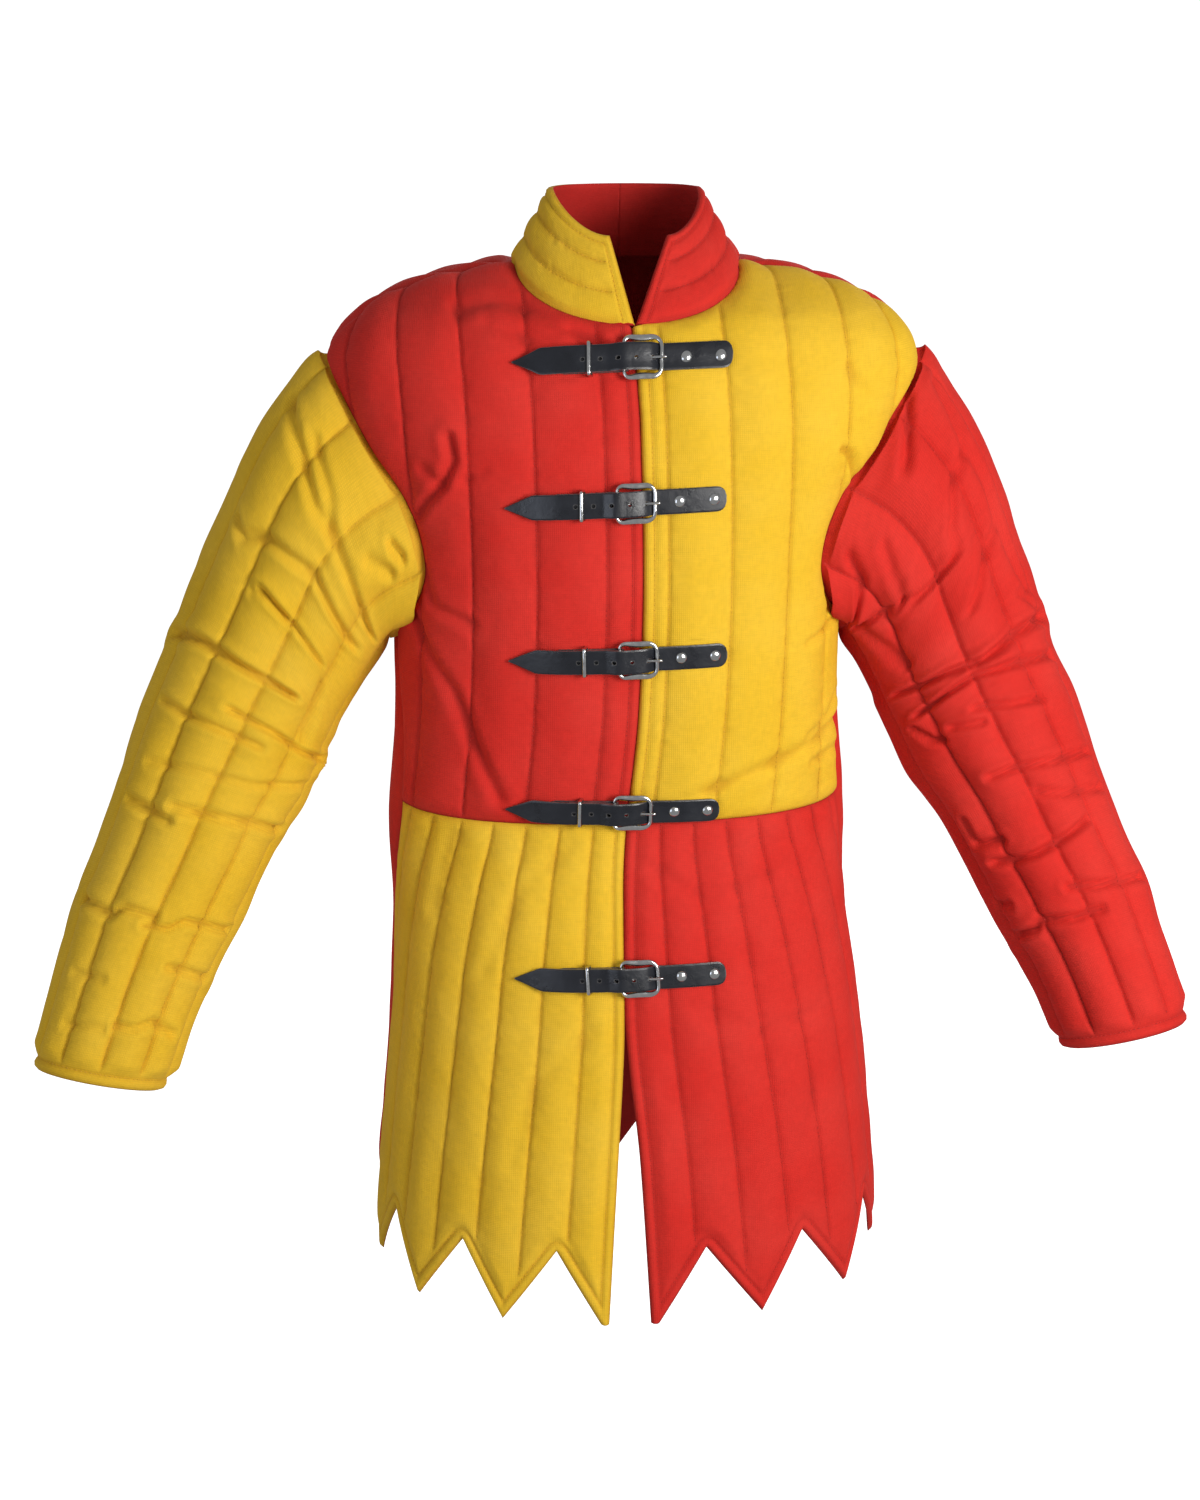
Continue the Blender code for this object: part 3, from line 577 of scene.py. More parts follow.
def chest_front(name, sign):
    z = rows_by_length(WAIST + SEAM_GAP / 2, NECK_POINT, 2.6)[:, None]
    offsets = fill((0, *CHEST_LINES[sign]), 2.6)
    end = front_end(z) - SEAM_GAP / 2
    begin = np.minimum(front_start(sign, z), end - 0.5)
    q = np.clip(closing_edge(sign, z) + offsets, begin, end)
    z = np.broadcast_to(z, q.shape)
    relief = chest_relief(sign, q, z)
    outside = raised(sign * q, z, relief)
    q2, z2 = q[::2, ::2], z[::2, ::2]
    inside = raised(sign * q2, z2, lining_lift(q2 - closing_edge(sign, z2)))
    cut = np.stack([q, up_the_cut(z)], -1)
    return shell(name, outside, inside, cut, (relief - STITCHED) / CREST)


print("length up the chest's flat cut in mm:", np.round(up_the_cut(NECK_POINT) - up_the_cut(WAIST)))


# %% [markdown]
# ## The skirt and its teeth
#
# Below the waist seam the coat flares, and its lower edge is cut into long teeth. The grid is a fan: a
# column keeps its share of the panel's width from the waist to the hem, and a row keeps its share of the
# height, so the last row lies exactly on the teeth. Their edge is turned and topstitched, and for that
# the distance to the zigzag itself is needed, not the distance straight down.

# %% Skirts
HEM_VALLEY, HEM_TIP, HEM_RISE = -838, -905, 14
FRONT_TIPS, FRONT_VALLEYS = (0.024, 0.303, 0.582, 0.859), (0.162, 0.441, 0.720, 1.0)
SKIRT_LINES = (0.0, 0.132, 0.264, 0.396, 0.528, 0.660, 0.792, 0.924, 1.0)
SKIRT_CREASES = {
    # depth, width, places (width from the closing edge, z)
    -1: (
        (1.4, 11, (46, -478), (88, -520), (120, -590)),
        (1.2, 12, (150, -474), (168, -540)),
        (1.3, 12, (30, -640), (78, -690), (92, -760)),
    ),
    1: (
        (1.6, 10, (22, -500), (70, -528), (150, -508)),
        (1.2, 12, (60, -620), (118, -650), (176, -640)),
        (1.3, 12, (170, -700), (140, -770)),
    ),
}


def hem_height(share, tips, valleys):
    """Height of the toothed edge at a share of the way to the side, which hangs a little higher."""
    marks = sorted([(at, HEM_TIP) for at in tips] + [(at, HEM_VALLEY) for at in valleys])
    return np.interp(share, [m[0] for m in marks], [m[1] for m in marks]) + HEM_RISE * share**2


def teeth(tips, valleys, width):
    """The zigzag's corners as places from the closing edge or the middle, and heights; width gives a
    panel's width at a height."""
    marks = np.array(sorted((*tips, *valleys)))
    z = hem_height(marks, tips, valleys)
    return marks * width(z), z


def to_zigzag(a, z, corners_a, corners_z):
    """Distance to a zigzag: the least of the distances to its straight stretches."""
    least = np.full(np.shape(a), 1e3)
    for a0, z0, a1, z1 in zip(corners_a[:-1], corners_z[:-1], corners_a[1:], corners_z[1:]):
        da, dz = a1 - a0, z1 - z0
        t = np.clip(((a - a0) * da + (z - z0) * dz) / (da * da + dz * dz), 0, 1)
        least = np.minimum(least, np.hypot(a - a0 - t * da, z - z0 - t * dz))
    return least


def skirt_teeth(sign):
    return teeth(FRONT_TIPS, FRONT_VALLEYS, lambda z: front_end(z) - closing_edge(sign, z))


def skirt_place(sign, share, down):
    """q and z of a place in the fan, and the panel's width at that height."""
    waist = WAIST - SEAM_GAP / 2
    z = waist + (hem_height(share, FRONT_TIPS, FRONT_VALLEYS) - waist) * down
    begin = closing_edge(sign, z)
    width = front_end(z) - SEAM_GAP / 2 - begin
    return begin + share * width, z, width


def skirt_relief(sign, share, down):
    """Height of the outer cloth over the form, and the distance to the nearest free edge."""
    q, z, width = skirt_place(sign, share, down)
    a = share * width
    to_line, half_channel = (v * width for v in nearest_line(share, SKIRT_LINES))
    height = quilted(to_line, half_channel, a, z, (30, 80, 31 + sign), (15, 26, 6), 41 + sign)
    height = height + creases(SKIRT_CREASES[sign], a, z)
    height = sewn_down(height, np.minimum(width - a, WAIST - z))
    to_edge = np.minimum(a, to_zigzag(a, z, *skirt_teeth(sign)))
    return pressed(sign * q, z, rolled_edge(to_edge, height)), to_edge


def skirt_front(name, sign):
    marks = np.unique(np.round(sorted({0, *FRONT_TIPS, *FRONT_VALLEYS, *SKIRT_LINES}), 4))
    share = fill(marks, 0.0075)[None]
    down = fill((0, 0.5, 1), 0.0062)[:, None]
    share, down = np.broadcast_arrays(share, down)
    q, z, width = skirt_place(sign, share, down)
    relief, to_edge = skirt_relief(sign, share, down)
    outside = raised(sign * q, z, relief)
    inside = raised(sign * q[::2, ::2], z[::2, ::2], lining_lift(to_edge[::2, ::2]))
    cut = np.stack([q, z - WAIST], -1)
    return shell(name, outside, inside, cut, (relief - STITCHED) / CREST)


print("corners of a skirt's hem in mm:", np.round(skirt_teeth(1)).tolist())


# %% [markdown]
# ## The back
#
# The photograph doesn't show the back, so it is cut as the fronts suggest: one panel from the neck to the
# hem in the red that shows past both side seams, quilted in the same channels and toothed in the same
# way. Above the waist its columns stand still and run into the armholes; below, they fan out.

# %% Back
BACK_TIPS, BACK_VALLEYS = (0, 2 / 7, 4 / 7, 6 / 7), (1 / 7, 3 / 7, 5 / 7, 1.0)
BACK_LINES = tuple(k / 6 for k in range(-7, 8))
BACK_CREASES = (
    # depth, width, places (s, z)
    (3.5, 15, (-150, -250), (-60, -330)),
    (3.5, 15, (150, -260), (70, -350)),
    (3.0, 12, (-120, -410), (-30, -440)),
    (3.0, 12, (40, -425), (140, -405)),
    (2.5, 14, (-60, -40), (-90, -120)),
    (2.5, 14, (60, -45), (100, -130)),
    (3.5, 14, (-170, -150), (-180, -240)),
    (3.5, 14, (172, -160), (178, -250)),
    (2.0, 14, (-180, -520), (-60, -560)),
    (2.0, 14, (50, -540), (170, -500)),
)


def back_relief(share, s, z, width):
    """As on the fronts; s is millimetres from centre back and share is s over the panel's half width."""
    to_line, half_channel = (v * width for v in nearest_line(share, BACK_LINES))
    height = quilted(to_line, half_channel, s, z, (30, 70, 51), (15, 26, 7), 52)
    height = height + creases(BACK_CREASES, s, z)
    to_hem = to_zigzag(np.abs(s), z, *teeth(BACK_TIPS, BACK_VALLEYS, back_end))
    to_seam = np.minimum(back_end(z) - np.abs(s), up_the_cut(NECK_POINT) - up_the_cut(z))
    return rolled_edge(to_hem, sewn_down(height, to_seam)), to_hem


def back_q(s, z):
    """q of a place s from centre back, s > 0 towards the wearer's left."""
    return np.where(s < 0, -1, 1) * (half(z) - np.abs(s))


def back_grid():
    marks = np.unique(np.round([0, *BACK_TIPS, *BACK_VALLEYS, *[k / 6 for k in range(7)]], 4))
    share = fill(marks, 0.0115)
    share = np.concatenate([-share[:0:-1], share])[None]
    down = fill((0, 0.5, 1), 0.0078)[::-1, None]
    z_low = WAIST + (hem_height(np.abs(share), BACK_TIPS, BACK_VALLEYS) - WAIST) * down
    width_low = back_end(z_low) - SEAM_GAP / 2
    z_high = rows_by_length(WAIST, NECK_POINT, 3.2)[1:, None]
    limit = back_end(z_high) - SEAM_GAP / 2
    # The outermost sixth stretches where the shoulders are wider than the waist.
    waist = back_end(WAIST) - SEAM_GAP / 2
    beyond = np.clip(6 * np.abs(share) - 5, 0, 1) * np.maximum(limit - waist, 0) * np.sign(share)
    s_high = np.clip(share * waist + beyond, -limit, limit)
    s = np.concatenate([share * width_low, s_high])
    z = np.concatenate([z_low, np.broadcast_to(z_high, s_high.shape)])
    width = np.concatenate([width_low, np.full_like(s_high, back_end(WAIST))])
    return s, z, width


def back_panel(name):
    s, z, width = back_grid()
    relief, to_hem = back_relief(s / width, s, z, width)
    q = back_q(s, z)
    inside = raised(q[::2, ::2], z[::2, ::2], lining_lift(to_hem[::2, ::2]))
    cut = np.stack([s, up_the_cut(z)], -1)
    return shell(name, raised(q, z, relief), inside, cut, (relief - STITCHED) / CREST)


print("the back's half width at waist and hem in mm:", np.round(back_end(np.array([WAIST, HEM_TIP])), 1))


# %% [markdown]
# ## Sleeves
#
# A sleeve is a tube whose rings fan out of the armhole, where they take its leaning shape, and end square
# to the forearm. A ring is an ellipse between the arm's top line and under line. The quilting runs along
# the sleeve in ten channels, and because the padding is stiff, the bent arm breaks it into puffy cells
# with deep cross creases. Those that show in the photograph are listed, and similar ones stand on the
# hidden side.

# %% Sleeve shape
SLEEVE = np.array([
    # place, top_x, top_z, under_x, under_z, middle_y, half_depth
    (0, 252, -72, 187, -300, -1, 84),
    (1, 266, -97, 203, -304, -4, 82),
    (2, 292, -138, 211, -325, -6, 80),
    (3, 314, -186, 226, -349, -8, 77),
    (4, 336, -236, 238, -371, -12, 76),
    (5, 357, -286, 248, -391, -18, 76),
    (6, 379, -338, 257, -411, -26, 76),
    (7, 399, -385, 272, -444, -38, 74),
    (8, 415, -432, 297, -480, -53, 71),
    (9, 434, -484, 320, -523, -70, 67),
    (10, 455, -532, 342, -565, -88, 63),
    (11, 470, -580, 366, -607, -106, 59),
    (12, 487, -634, 386, -655, -124, 55),
    (13, 505, -682, 405, -706, -140, 52),
], float)
SLEEVE_END = {-1: 12.6, 1: 12.4}
SLEEVE_SWING = {-1: 8, 1: -3}
SLEEVE_FULL = {-1: 0, 1: 9}
RING_STEP = 50.0


def armhole(sign, turn):
    """The armhole at a turn, 0 at the shoulder, 90 in front and 180 under the arm, with the form's normal
    there, both mirrored to the wearer's left."""
    rows = SIDES[(SIDES[:, 0] >= ARMPIT) & (SIDES[:, 0] <= SHOULDER_TIP), 0][::-1]
    turn = np.mod(turn, 360)
    down = np.minimum(turn, 360 - turn) / 18
    z = eased(np.column_stack([np.arange(len(rows)), rows]), 1, down)
    q = sign * np.where(turn <= 180, front_end(z), half(z) - back_end(z))
    return mirrored(body(q, z), sign), mirrored(outward(q, z), sign)


def arm_lines(sign, at):
    """Top line, under line and half depth of the sleeve at a place along it."""
    top_x, top_z, under_x, under_z, y, deep = (eased(SLEEVE, c, at) for c in range(1, 7))
    swing = SLEEVE_SWING[sign] * smooth(at / 6)
    full = SLEEVE_FULL[sign] * np.sin(math.pi * np.clip(at / 6, 0, 1))
    return np.stack([top_x + swing + full, y, top_z], -1), np.stack([under_x + swing, y, under_z], -1), deep


def sleeve_form(sign, at, turn):
    """The sleeve's inside, mirrored to the wearer's left: middle + cos(turn) half-height up the arm's
    section + sin(turn) half depth to the front, blended near the armhole with its outline carried along."""
    at, turn = np.broadcast_arrays(np.asarray(at, float), np.asarray(turn, float))
    top, under, deep = arm_lines(sign, at)
    middle = (top + under) / 2
    ahead = sum(w * m for w, part in ((1, at + 0.2), (-1, at - 0.2)) for m in arm_lines(sign, part)[:2])
    across = unit(top - under)
    forward = unit(np.cross(ahead, across))
    forward = forward * np.where(forward[..., 1:2] > 0, -1, 1)
    c, s = np.cos(np.radians(turn))[..., None], np.sin(np.radians(turn))[..., None]
    wide = np.linalg.norm(top - under, axis=-1)[..., None] / 2
    ring = middle + c * wide * across + s * deep[..., None] * forward
    edge = armhole(sign, turn)[0]
    start = sum(arm_lines(sign, np.float64(0))[:2]) / 2
    share = (1 - smooth(at / 2.2))[..., None]
    return ring * (1 - share) + (edge + middle - start) * share


def sleeve_normal(sign, at, turn):
    """Square to the tube: the cross product of a step round it and a step along it. Beside the armhole it
    leans over to the body's normal, so that both edges of the seam meet."""
    round_it = sleeve_form(sign, at, turn + 1) - sleeve_form(sign, at, turn - 1)
    along = sleeve_form(sign, at + 0.05, turn) - sleeve_form(sign, np.maximum(at - 0.05, 0), turn)
    normal = unit(np.cross(round_it, along))
    top, under, _ = arm_lines(sign, at)
    away = sleeve_form(sign, at, turn) - (top + under) / 2
    normal = normal * np.sign(np.sum(normal * away, axis=-1, keepdims=True))
    share = smooth(np.broadcast_to(at, normal.shape[:-1]) / 0.5)[..., None]
    return unit(normal * share + armhole(sign, turn)[1] * (1 - share))


print("sleeve's height at shoulder, elbow and cuff in mm:", [
    round(float(np.linalg.norm(np.subtract(*arm_lines(1, at)[:2])))) for at in (0.0, 7.0, 12.4)])

# %% Sleeve relief
SLEEVE_LINES = np.arange(-18.0, 380, 36)
SLEEVE_PADDED = 12.0
DEGREE = 1.3  # millimetres that a degree round the sleeve counts on its flat cut
SLEEVE_CREASES = {
    # depth, width, places (turn, place)
    -1: (
        (6.5, 7, (6, 5.52), (42, 5.36), (76, 5.28), (108, 5.12)),
        (4, 6, (32, 6.56), (53, 6.64), (76, 6.64), (104, 6.64)),
        (5.5, 6, (79, 6.2), (109, 6.24), (135, 6.36), (173, 6.32)),
        (2.5, 6, (42, 7.64), (79, 7.52), (111, 7.4), (150, 6.96)),
        (5, 6, (34, 8.28), (72, 8.4)),
        (5, 6, (71, 8.2), (100, 8.12), (120, 8.04), (164, 7.92)),
        (4.5, 6, (17, 9.92), (58, 10.08), (67, 9.92), (89, 9.96)),
        (5, 5, (85, 10.12), (101, 10.08), (111, 9.88), (155, 9.84)),
        (1.8, 6, (42, 11.08), (70, 11.08)),
        (3.5, 6, (113, 10.68), (163, 10.72)),
        (2.2, 5, (48, 11.8), (83, 11.76)),
        (4.5, 5, (90, 11.68), (104, 11.68), (118, 11.52), (142, 11.68)),
        (4, 6, (66, 3.8), (94, 3.72), (115, 3.84)),
        (2.5, 6, (173, 6.24), (154, 7.08)),
        (2.5, 7, (124, 4.24), (132, 6.16)),
        (4, 8, (18, 1.44), (44, 1.6), (72, 1.8), (88, 1.76), (108, 1.84), (123, 1.88), (138, 1.96)),
        (3, 7, (49, 1.36), (73, 1.52), (86, 1.76)),
        (4, 8, (26, 3.28), (40, 3.44), (57, 3), (73, 2.76), (90, 2.48), (112, 2.6), (132, 2.6)),
        (3.5, 7, (106, 1.36), (118, 1.04)),
        (5, 6, (106, 0.88), (114, 0.72)),
        (3, 7, (60, 3.96), (69, 3.76), (84, 3.8)),
    ),
    1: (
        (6.5, 8, (9, 5.48), (52, 5.32), (73, 5.32), (84, 5.32)),
        (6.5, 7, (22, 6.12), (55, 5.88), (75, 5.68), (88, 5.52), (108, 5.52), (133, 5.64)),
        (6, 7, (87, 5.24), (104, 5), (124, 4.84), (141, 4.6)),
        (4, 7, (150, 1.6), (132, 2), (115, 2.36)),
        (3, 8, (153, 1.16), (143, 2.08), (125, 4.04)),
        (4, 6, (116, 6.36), (97, 6.56)),
        (4, 6, (97, 6.2), (77, 6.48), (54, 6.68)),
        (4.5, 6, (141, 5.96), (133, 6.44), (126, 6.56)),
        (5, 6, (109, 7.6), (92, 7.64), (64, 7.8), (29, 7.88)),
        (4, 6, (85, 8.16), (70, 8.32), (32, 8.48)),
        (4.5, 6, (143, 8.16), (144, 8.6), (124, 8.68)),
        (5, 6, (138, 9), (122, 9.08), (104, 9.08), (84, 9), (60, 8.84)),
        (5.5, 6, (96, 9.8), (83, 9.88), (64, 9.96), (29, 10.04)),
        (4, 6, (160, 9.76), (144, 9.8)),
        (5.5, 6, (156, 10.36), (135, 10.32), (126, 10.2), (101, 10.32), (80, 10.32)),
        (3, 7, (40, 4.76), (21, 5.52)),
        (4.5, 9, (45, 0), (47, 0.52), (59, 0.92), (70, 1.12)),
        (4.5, 10, (25, 1), (31, 1.52), (38, 2), (35, 2.8), (37, 3.32), (31, 4.6), (28, 4.84)),
        (3.5, 8, (40, 2), (59, 2.08), (72, 2.44), (74, 2.92)),
        (4, 7, (79, 2.88), (89, 2.88), (104, 2.68), (112, 2.4)),
        (3, 7, (103, 1.36), (109, 1.76), (111, 2.36)),
        (3, 9, (43, 3.44), (61, 3.76), (76, 4.16)),
        (4, 8, (116, 0.8), (124, 1.24), (144, 1.28)),
    ),
}


def sleeve_relief(sign, at, turn):
    """Height over the tube. Creases count DEGREE round it and RING_STEP a place along it. They are drawn
    deeper than listed, and two in three are repeated on the hidden side, moved a little along it."""
    top, under, deep = arm_lines(sign, at)
    wide = np.linalg.norm(top - under, axis=-1) / 2
    degree = math.pi / 180 * np.sqrt((wide**2 + deep**2) / 2)
    turn = np.mod(turn, 360)
    to_line, half_channel = nearest_line(turn, SLEEVE_LINES)
    to_line, half_channel = to_line * degree, half_channel * degree
    swell = swelling(to_line, half_channel)
    a, b = turn * DEGREE, at * RING_STEP
    height = STITCHED + (SLEEVE_PADDED - STITCHED) * np.minimum(half_channel / 24, 1) ** 0.5 * swell
    height = height + 1.4 * swell * slack(a, b, 46.8, 34, 61 + sign)
    height = height + puckers(to_line, a, b, 63 + sign)
    table = []
    for number, (deep, width, *path) in enumerate(SLEEVE_CREASES[sign]):
        for shift in (0, 360):
            places = [((t + shift) * DEGREE, p * RING_STEP) for t, p in path]
            table.append((1.35 * deep, width, *places))
        if number % 3 != 1:
            behind = [((352 - t) * DEGREE, (p + 0.12 * (number % 4)) * RING_STEP) for t, p in path]
            table.append((1.1 * deep, width + 1, *behind))
    height = np.maximum(height + creases(table, a, b), 2.6)
    height = sewn_down(height, at * RING_STEP, reach=16)
    return rolled_edge((SLEEVE_END[sign] - at) * RING_STEP, height)


def sleeve(name, sign):
    end = SLEEVE_END[sign]
    at = fill((0, 1, 3, 5, 7, 9, 11, end - 0.18, end), 0.052)[:, None]
    turn = fill(np.arange(198.0, 560, 36), 2.0)[None, :-1]
    at, turn = np.broadcast_arrays(at, turn)
    relief = sleeve_relief(sign, at, turn)
    form, normal = sleeve_form(sign, at, turn), sleeve_normal(sign, at, turn)
    apart = np.array([1, 0, -0.2]) * 0.4 * (1 - smooth(at[..., None] / 0.3))
    outside = mirrored(form + normal * relief[..., None] + apart, sign)
    lift = lining_lift((end - at[::2, ::2]) * RING_STEP)[..., None]
    inside = mirrored(form[::2, ::2] + normal[::2, ::2] * lift + apart[::2, ::2], sign)
    more = np.append(turn, turn[:, :1] + 360, axis=1)
    cut = np.stack([more * DEGREE, closed_round(at) * RING_STEP], -1)
    return shell(name, outside, inside, cut, (relief - STITCHED) / SLEEVE_CREST, wrap=True)


print("creases on the right and left sleeve:", [len(SLEEVE_CREASES[sign]) for sign in (-1, 1)])


# %% [markdown]
# ## The standing collar
#
# The collar follows the neckline and leans in a little towards its top edge, which is cut lower in front.
# Its two halves are in opposite colours and meet at centre back. Each is a ruled surface: straight lines
# from the neckline up to the top edge, with the wadding on top of it.

# %% Collar
COLLAR_MIDDLE, COLLAR_HALF = 7, 60
COLLAR_FRONT, COLLAR_BACK = -68, 47
COLLAR_LOW, COLLAR_HIGH = 27, 62
COLLAR_CORNERS = {-1: 18, 1: 29}
COLLAR_LINES = (0, 0.36, 0.68, 1.0)
COLLAR_BEHIND = 0.03  # half the gap at centre back, in millimetres
COLLAR_SEAMS = {}


def neckline(sign, share):
    """q, z and whole length of the neckline at a share of it, from the throat to centre back."""
    fall = np.cos(np.linspace(0, math.pi / 2, 90))
    z = NECK_POINT + (THROAT - NECK_POINT) * fall
    q = np.minimum(neck_edge(z), front_end(z))
    top = np.float64(NECK_POINT)
    q = np.append(q, np.linspace(q[-1], half(top), 90)[1:])
    z = np.append(z, np.full(89, top))
    length = length_along(body(q, z))
    return np.interp(share, length / length[-1], q), np.interp(share, length / length[-1], z), length[-1]


def collar_form(sign, share, up):
    """A point of the collar's inside, mirrored to the wearer's left."""
    q, z, length = neckline(sign, share)
    base, out = mirrored(body(sign * q, z), sign), mirrored(outward(sign * q, z), sign)
    base = base + unit(unit(np.array([0, -10, -20]) - base) + np.array([0, 0, 1])) * SEAM_GAP
    corner = math.asin(COLLAR_CORNERS[sign] / COLLAR_HALF)
    turn = corner + (math.pi - corner) * share
    mean, swing = (COLLAR_FRONT + COLLAR_BACK) / 2, (COLLAR_BACK - COLLAR_FRONT) / 2
    edge = np.stack([
        COLLAR_HALF * np.sin(turn) + sign * COLLAR_MIDDLE,
        mean - swing * np.cos(turn),
        COLLAR_LOW + (COLLAR_HIGH - COLLAR_LOW) * smooth(share / 0.5),
    ], -1)
    up = np.asarray(up)[..., None]
    return base * (1 - up) + edge * up, out, length


def collar(name, sign):
    """The ruled surface with its relief. It also keeps the collar's seams for the stitches."""
    share = fill((0, 0.04, 1), 0.009)[None]
    up = fill((0, 1 / 3, 2 / 3, 0.87, 1), 0.028)[:, None]
    share, up = np.broadcast_arrays(share, up)
    inside, base_out, length = collar_form(sign, share, up)
    inside = inside.copy()
    inside[:, -1, 0] = sign * COLLAR_MIDDLE + COLLAR_BEHIND
    out = unit(np.cross(np.gradient(inside, axis=1), np.gradient(inside, axis=0)))
    out = out * np.sign(np.sum(out * (inside - (7 * sign, -10, 20)), axis=-1, keepdims=True))
    out[:, -1] = unit(out[:, -1] * (0, 1, 1))
    blend = smooth(up[..., None] / 0.15)
    out = unit(out * blend + base_out * (1 - blend))
    tall = np.linalg.norm(inside[-1] - inside[0], axis=-1)[None]
    to_line, half_row = nearest_line(up, COLLAR_LINES)
    swell = swelling(to_line * tall, half_row * tall)
    along = share * length
    height = STITCHED + 2.8 * swell + 0.7 * swell * slack(along, up * tall, 26, 14, 71)
    height = height + puckers(to_line * tall, up * tall, along, 73)
    to_seam = np.minimum(up * tall, length * (1 - share))
    to_edge = np.minimum((1 - up) * tall, along)
    height = rolled_edge(to_edge, sewn_down(height, to_seam, reach=10, deepest=9))
    outside = inside + out * height[..., None]
    outside[:, -1, 0] = sign * COLLAR_MIDDLE + COLLAR_BEHIND
    # The seams for the stitches, along the grid's rows and the column nearest to the front edge's.
    rows = [int(np.argmin(np.abs(up[:, 0] - line))) for line in COLLAR_LINES[1:3]]
    seams = [(row, slice(int(np.argmin(np.abs(along[row] - TOPSTITCH - 2))), None)) for row in rows]
    top = int(np.argmin(np.abs((1 - up[:, 0]) * tall[0].mean() - TOPSTITCH)))
    front = int(np.argmin(np.abs(along[0] - TOPSTITCH)))
    seams += [(top, slice(front, None)), (slice(1, top), front)]
    outside, out_there = mirrored(outside, sign), mirrored(out, sign)
    COLLAR_SEAMS[sign] = [(outside[seam], out_there[seam]) for seam in seams]
    lined = mirrored(inside + out * lining_lift(to_edge)[..., None], sign)[::2, ::2]
    cut = np.stack([along, up * tall], -1)
    return shell(name, outside, lined, cut, (height - STITCHED) / COLLAR_CREST)


print("half the neckline in mm:", round(float(neckline(1, 1.0)[2]), 1))


# %% [markdown]
# ## Cotton
#
# The cloth is plain-woven cotton canvas, dyed in the piece: matt, a little dusty, with slubs where a
# thread is thicker and paler worn clouds. Its colour is painted darker down in the quilting and the
# creases and left at the dye on the crests, which is painted shade. Its short fibres stand up and catch
# light at the silhouette, which is the sheen. A real thread is about 0.5 mm wide, finer than a pixel
# here, so the weave is drawn at 1.6 mm.
#
# Colours are given as sRGB hex values, as in any paint program, and one function turns them to the
# linear values that the shader counts in. One small function adds a node with its inputs.

# %% Node helpers
def linear(code):
    """#RRGGBB to linear colour: each part over 255, then to the power 2.4 past the dark toe."""
    parts = [int(code[i:i + 2], 16) / 255 for i in (1, 3, 5)]
    return (*[p / 12.92 if p <= 0.04045 else ((p + 0.055) / 1.055) ** 2.4 for p in parts], 1.0)


def add_node(tree, kind, inputs=(), output=0, **settings):
    """Adds a node and gives the output asked for. settings are its properties, and inputs are values, or
    sockets to link from."""
    node = tree.nodes.new("ShaderNode" + kind)
    for name, value in settings.items():
        setattr(node, name, value)
    for name, value in dict(inputs).items():
        if isinstance(value, bpy.types.NodeSocket):
            tree.links.new(value, node.inputs[name])
        else:
            node.inputs[name].default_value = value
    return node.outputs[output] if node.outputs else node


def new_material(name):
    material = bpy.data.materials.new(name)
    material.use_nodes = True
    material.node_tree.nodes.clear()
    return material, material.node_tree


def blend_colours(tree, share, low, high):
    """The colour between two; share, low and high are values or sockets. A Mix node numbers its inputs
    for all its data types together, and 6, 7 and output 2 are those for colours."""
    return add_node(tree, "Mix", {0: share, 6: low, 7: high}, 2, data_type="RGBA")


print("the red dye in linear colour:", np.round(linear("#CD251C"), 3).tolist())



# %% Woven cotton
WAVE = 0.314  # a wave texture repeats every WAVE / scale metres


